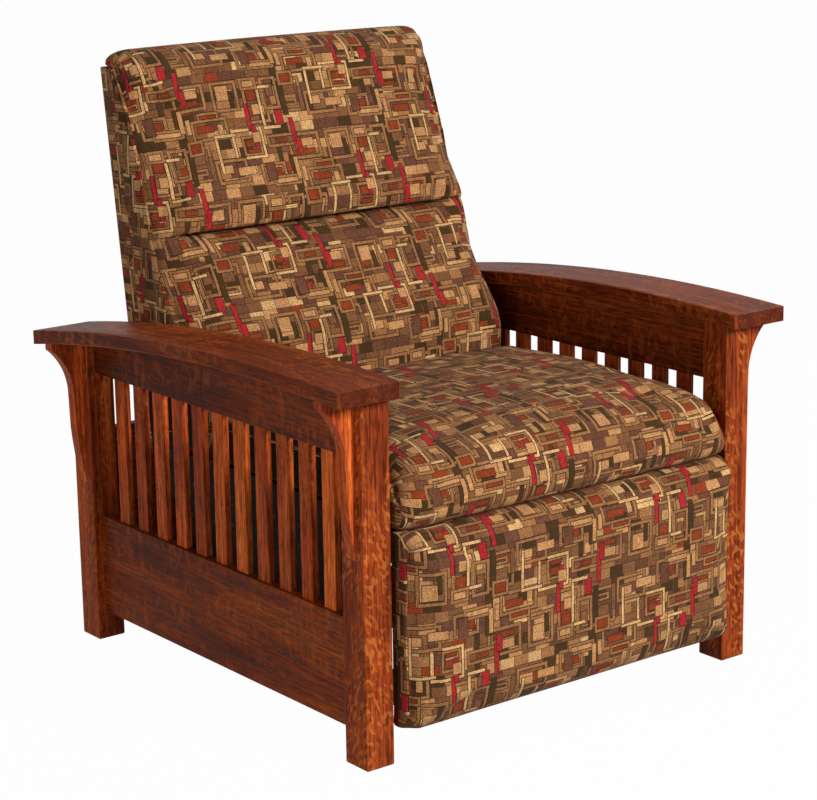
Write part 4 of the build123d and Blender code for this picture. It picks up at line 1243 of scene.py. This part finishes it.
def back_rounded(loop):
    """The back's side edges are square at the frame, under the shell, and round in front."""
    out = soft_step(frame_front(loop[:, 1]) - loop[:, 0], 0.0, back_turn)
    above = soft_step(loop[:, 1], cover_high.z + shell_edge[0], cover_high.z + shell_edge[1])
    return back_square_share + (1 - back_square_share) * np.maximum(out, above_shell_share * above)


back_spine = on_back(((0.30, 0.08), (0.30, 0.45), (0.22, 0.72), (0.08, 0.90), (-0.02, 0.965)))
back, back_facts = padded_form(
    "back_tapestry",
    on_back(back_shares),
    back_spine,
    half_width=lower_high.x - 2 * millimetre,
    edge_radius=40 * millimetre,
    crown=13 * millimetre,
    show=(-1.0, 0.0),
    rounded=back_rounded,
    side_bow=3 * millimetre,
    push=crease,
    closer=closer_at_crease,
)
back_heights = back_facts["loop"][:, 1]
on_frame = resting(back_facts, share=0.15) * (back_heights < cover_high.z)
in_crease = np.exp(-np.abs(back_heights - crease_height) / crease_pin)
swell(
    back,
    back_facts,
    held=on_frame + in_crease,
    side_limit=3 * millimetre,
    limit=9 * millimetre,
    seam_depth=1.5 * millimetre,
)
back_cloth = tapestry("tapestry_back", (0.32, 0.10), back_shaded_from)
upholster(back, back_cloth, "back", ["back_cushion", "head_cushion"])

# %% [markdown]
# ## The outside of the back
# The same cloth is stretched over the sides and rear of the frame and tacked under the edge. It
# is one sheet carried along a path that goes round the frame, seen from above: forward side,
# rounded corner, rear, corner and side again. The rear panel is padded a little, so the sheet
# swells there by padding * sqrt(sin(pi s) * cos(pi x / width)): s runs up the panel from 0 to 1, and
# x across it from its middle.

# %% Back shell
shell_corner = 12 * millimetre
shell_padding = 3 * millimetre
shell_thickness = 2.5 * millimetre
shell_rows = 92
shell_corner_points = 7
shell_rear_points = 44


def shell_path(half_width, depth):
    """Round the frame seen from above, as x and depth behind the frame's front. Straight sides,
    quarter circles at the rear corners, and how far along the path each point lies."""
    turn = np.linspace(0, math.pi / 2, shell_corner_points)
    corner = np.stack((shell_corner * np.cos(turn), shell_corner * np.sin(turn)), axis=1)
    corner = corner + (half_width - shell_corner, depth - shell_corner)
    back_in = np.linspace(0, depth - shell_corner, len(turn))
    side = np.stack((half_width + 0 * turn, back_in), axis=1)
    rear_x = np.linspace(half_width - shell_corner, 0, shell_rear_points)
    rear = np.stack((rear_x, depth + 0 * rear_x), axis=1)
    half = np.vstack((side[:-1], corner[:-1], rear))
    path = np.vstack((half, (half * (-1, 1))[-2::-1]))
    along = np.concatenate(([0.0], np.cumsum(np.linalg.norm(np.diff(path, axis=0), axis=1))))
    return path, along


shell_depth = cover_high.y - cover_low.y - (cover_high.z - cover_low.z) * back_lean
path, path_along = shell_path(cover_high.x, shell_depth)
heights = np.linspace(cover_low.z, cover_high.z, shell_rows)
on_rear = soft_step(path[:, 1], shell_depth - 1 * millimetre, shell_depth)
puff = np.sin(math.pi * np.linspace(0, 1, shell_rows))[:, None] ** 0.5
puff = puff * (on_rear * np.cos(path[:, 0] / cover_high.x * math.pi / 2) ** 0.5)[None]
shell_points = np.empty((shell_rows, len(path), 3))
shell_points[..., 0] = path[None, :, 0]
shell_points[..., 1] = frame_front(heights)[:, None] + path[None, :, 1] + puff * shell_padding
shell_points[..., 2] = heights[:, None]


def grid_faces(rows, columns):
    """The four-sided faces between neighbours on a grid of points."""
    number = np.arange(rows * columns).reshape(rows, columns)
    corners = (number[:-1, :-1], number[:-1, 1:], number[1:, 1:], number[1:, :-1])
    return np.stack(corners, axis=2).reshape(-1, 4)


shell_cloth = np.stack(np.meshgrid(path_along, heights), axis=2).reshape(-1, 2)
shell_faces = grid_faces(shell_rows, len(path))
shell = cloth_piece("back_shell_tapestry", shell_points, shell_faces, shell_cloth[shell_faces])
shell.data.materials.append(tapestry("tapestry_shell", (0.4, 0.2)))
wall = shell.modifiers.new("cloth_thickness", "SOLIDIFY")
wall.thickness = shell_thickness
wall.offset = -1
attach(shell, "back")
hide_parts("back_cover")
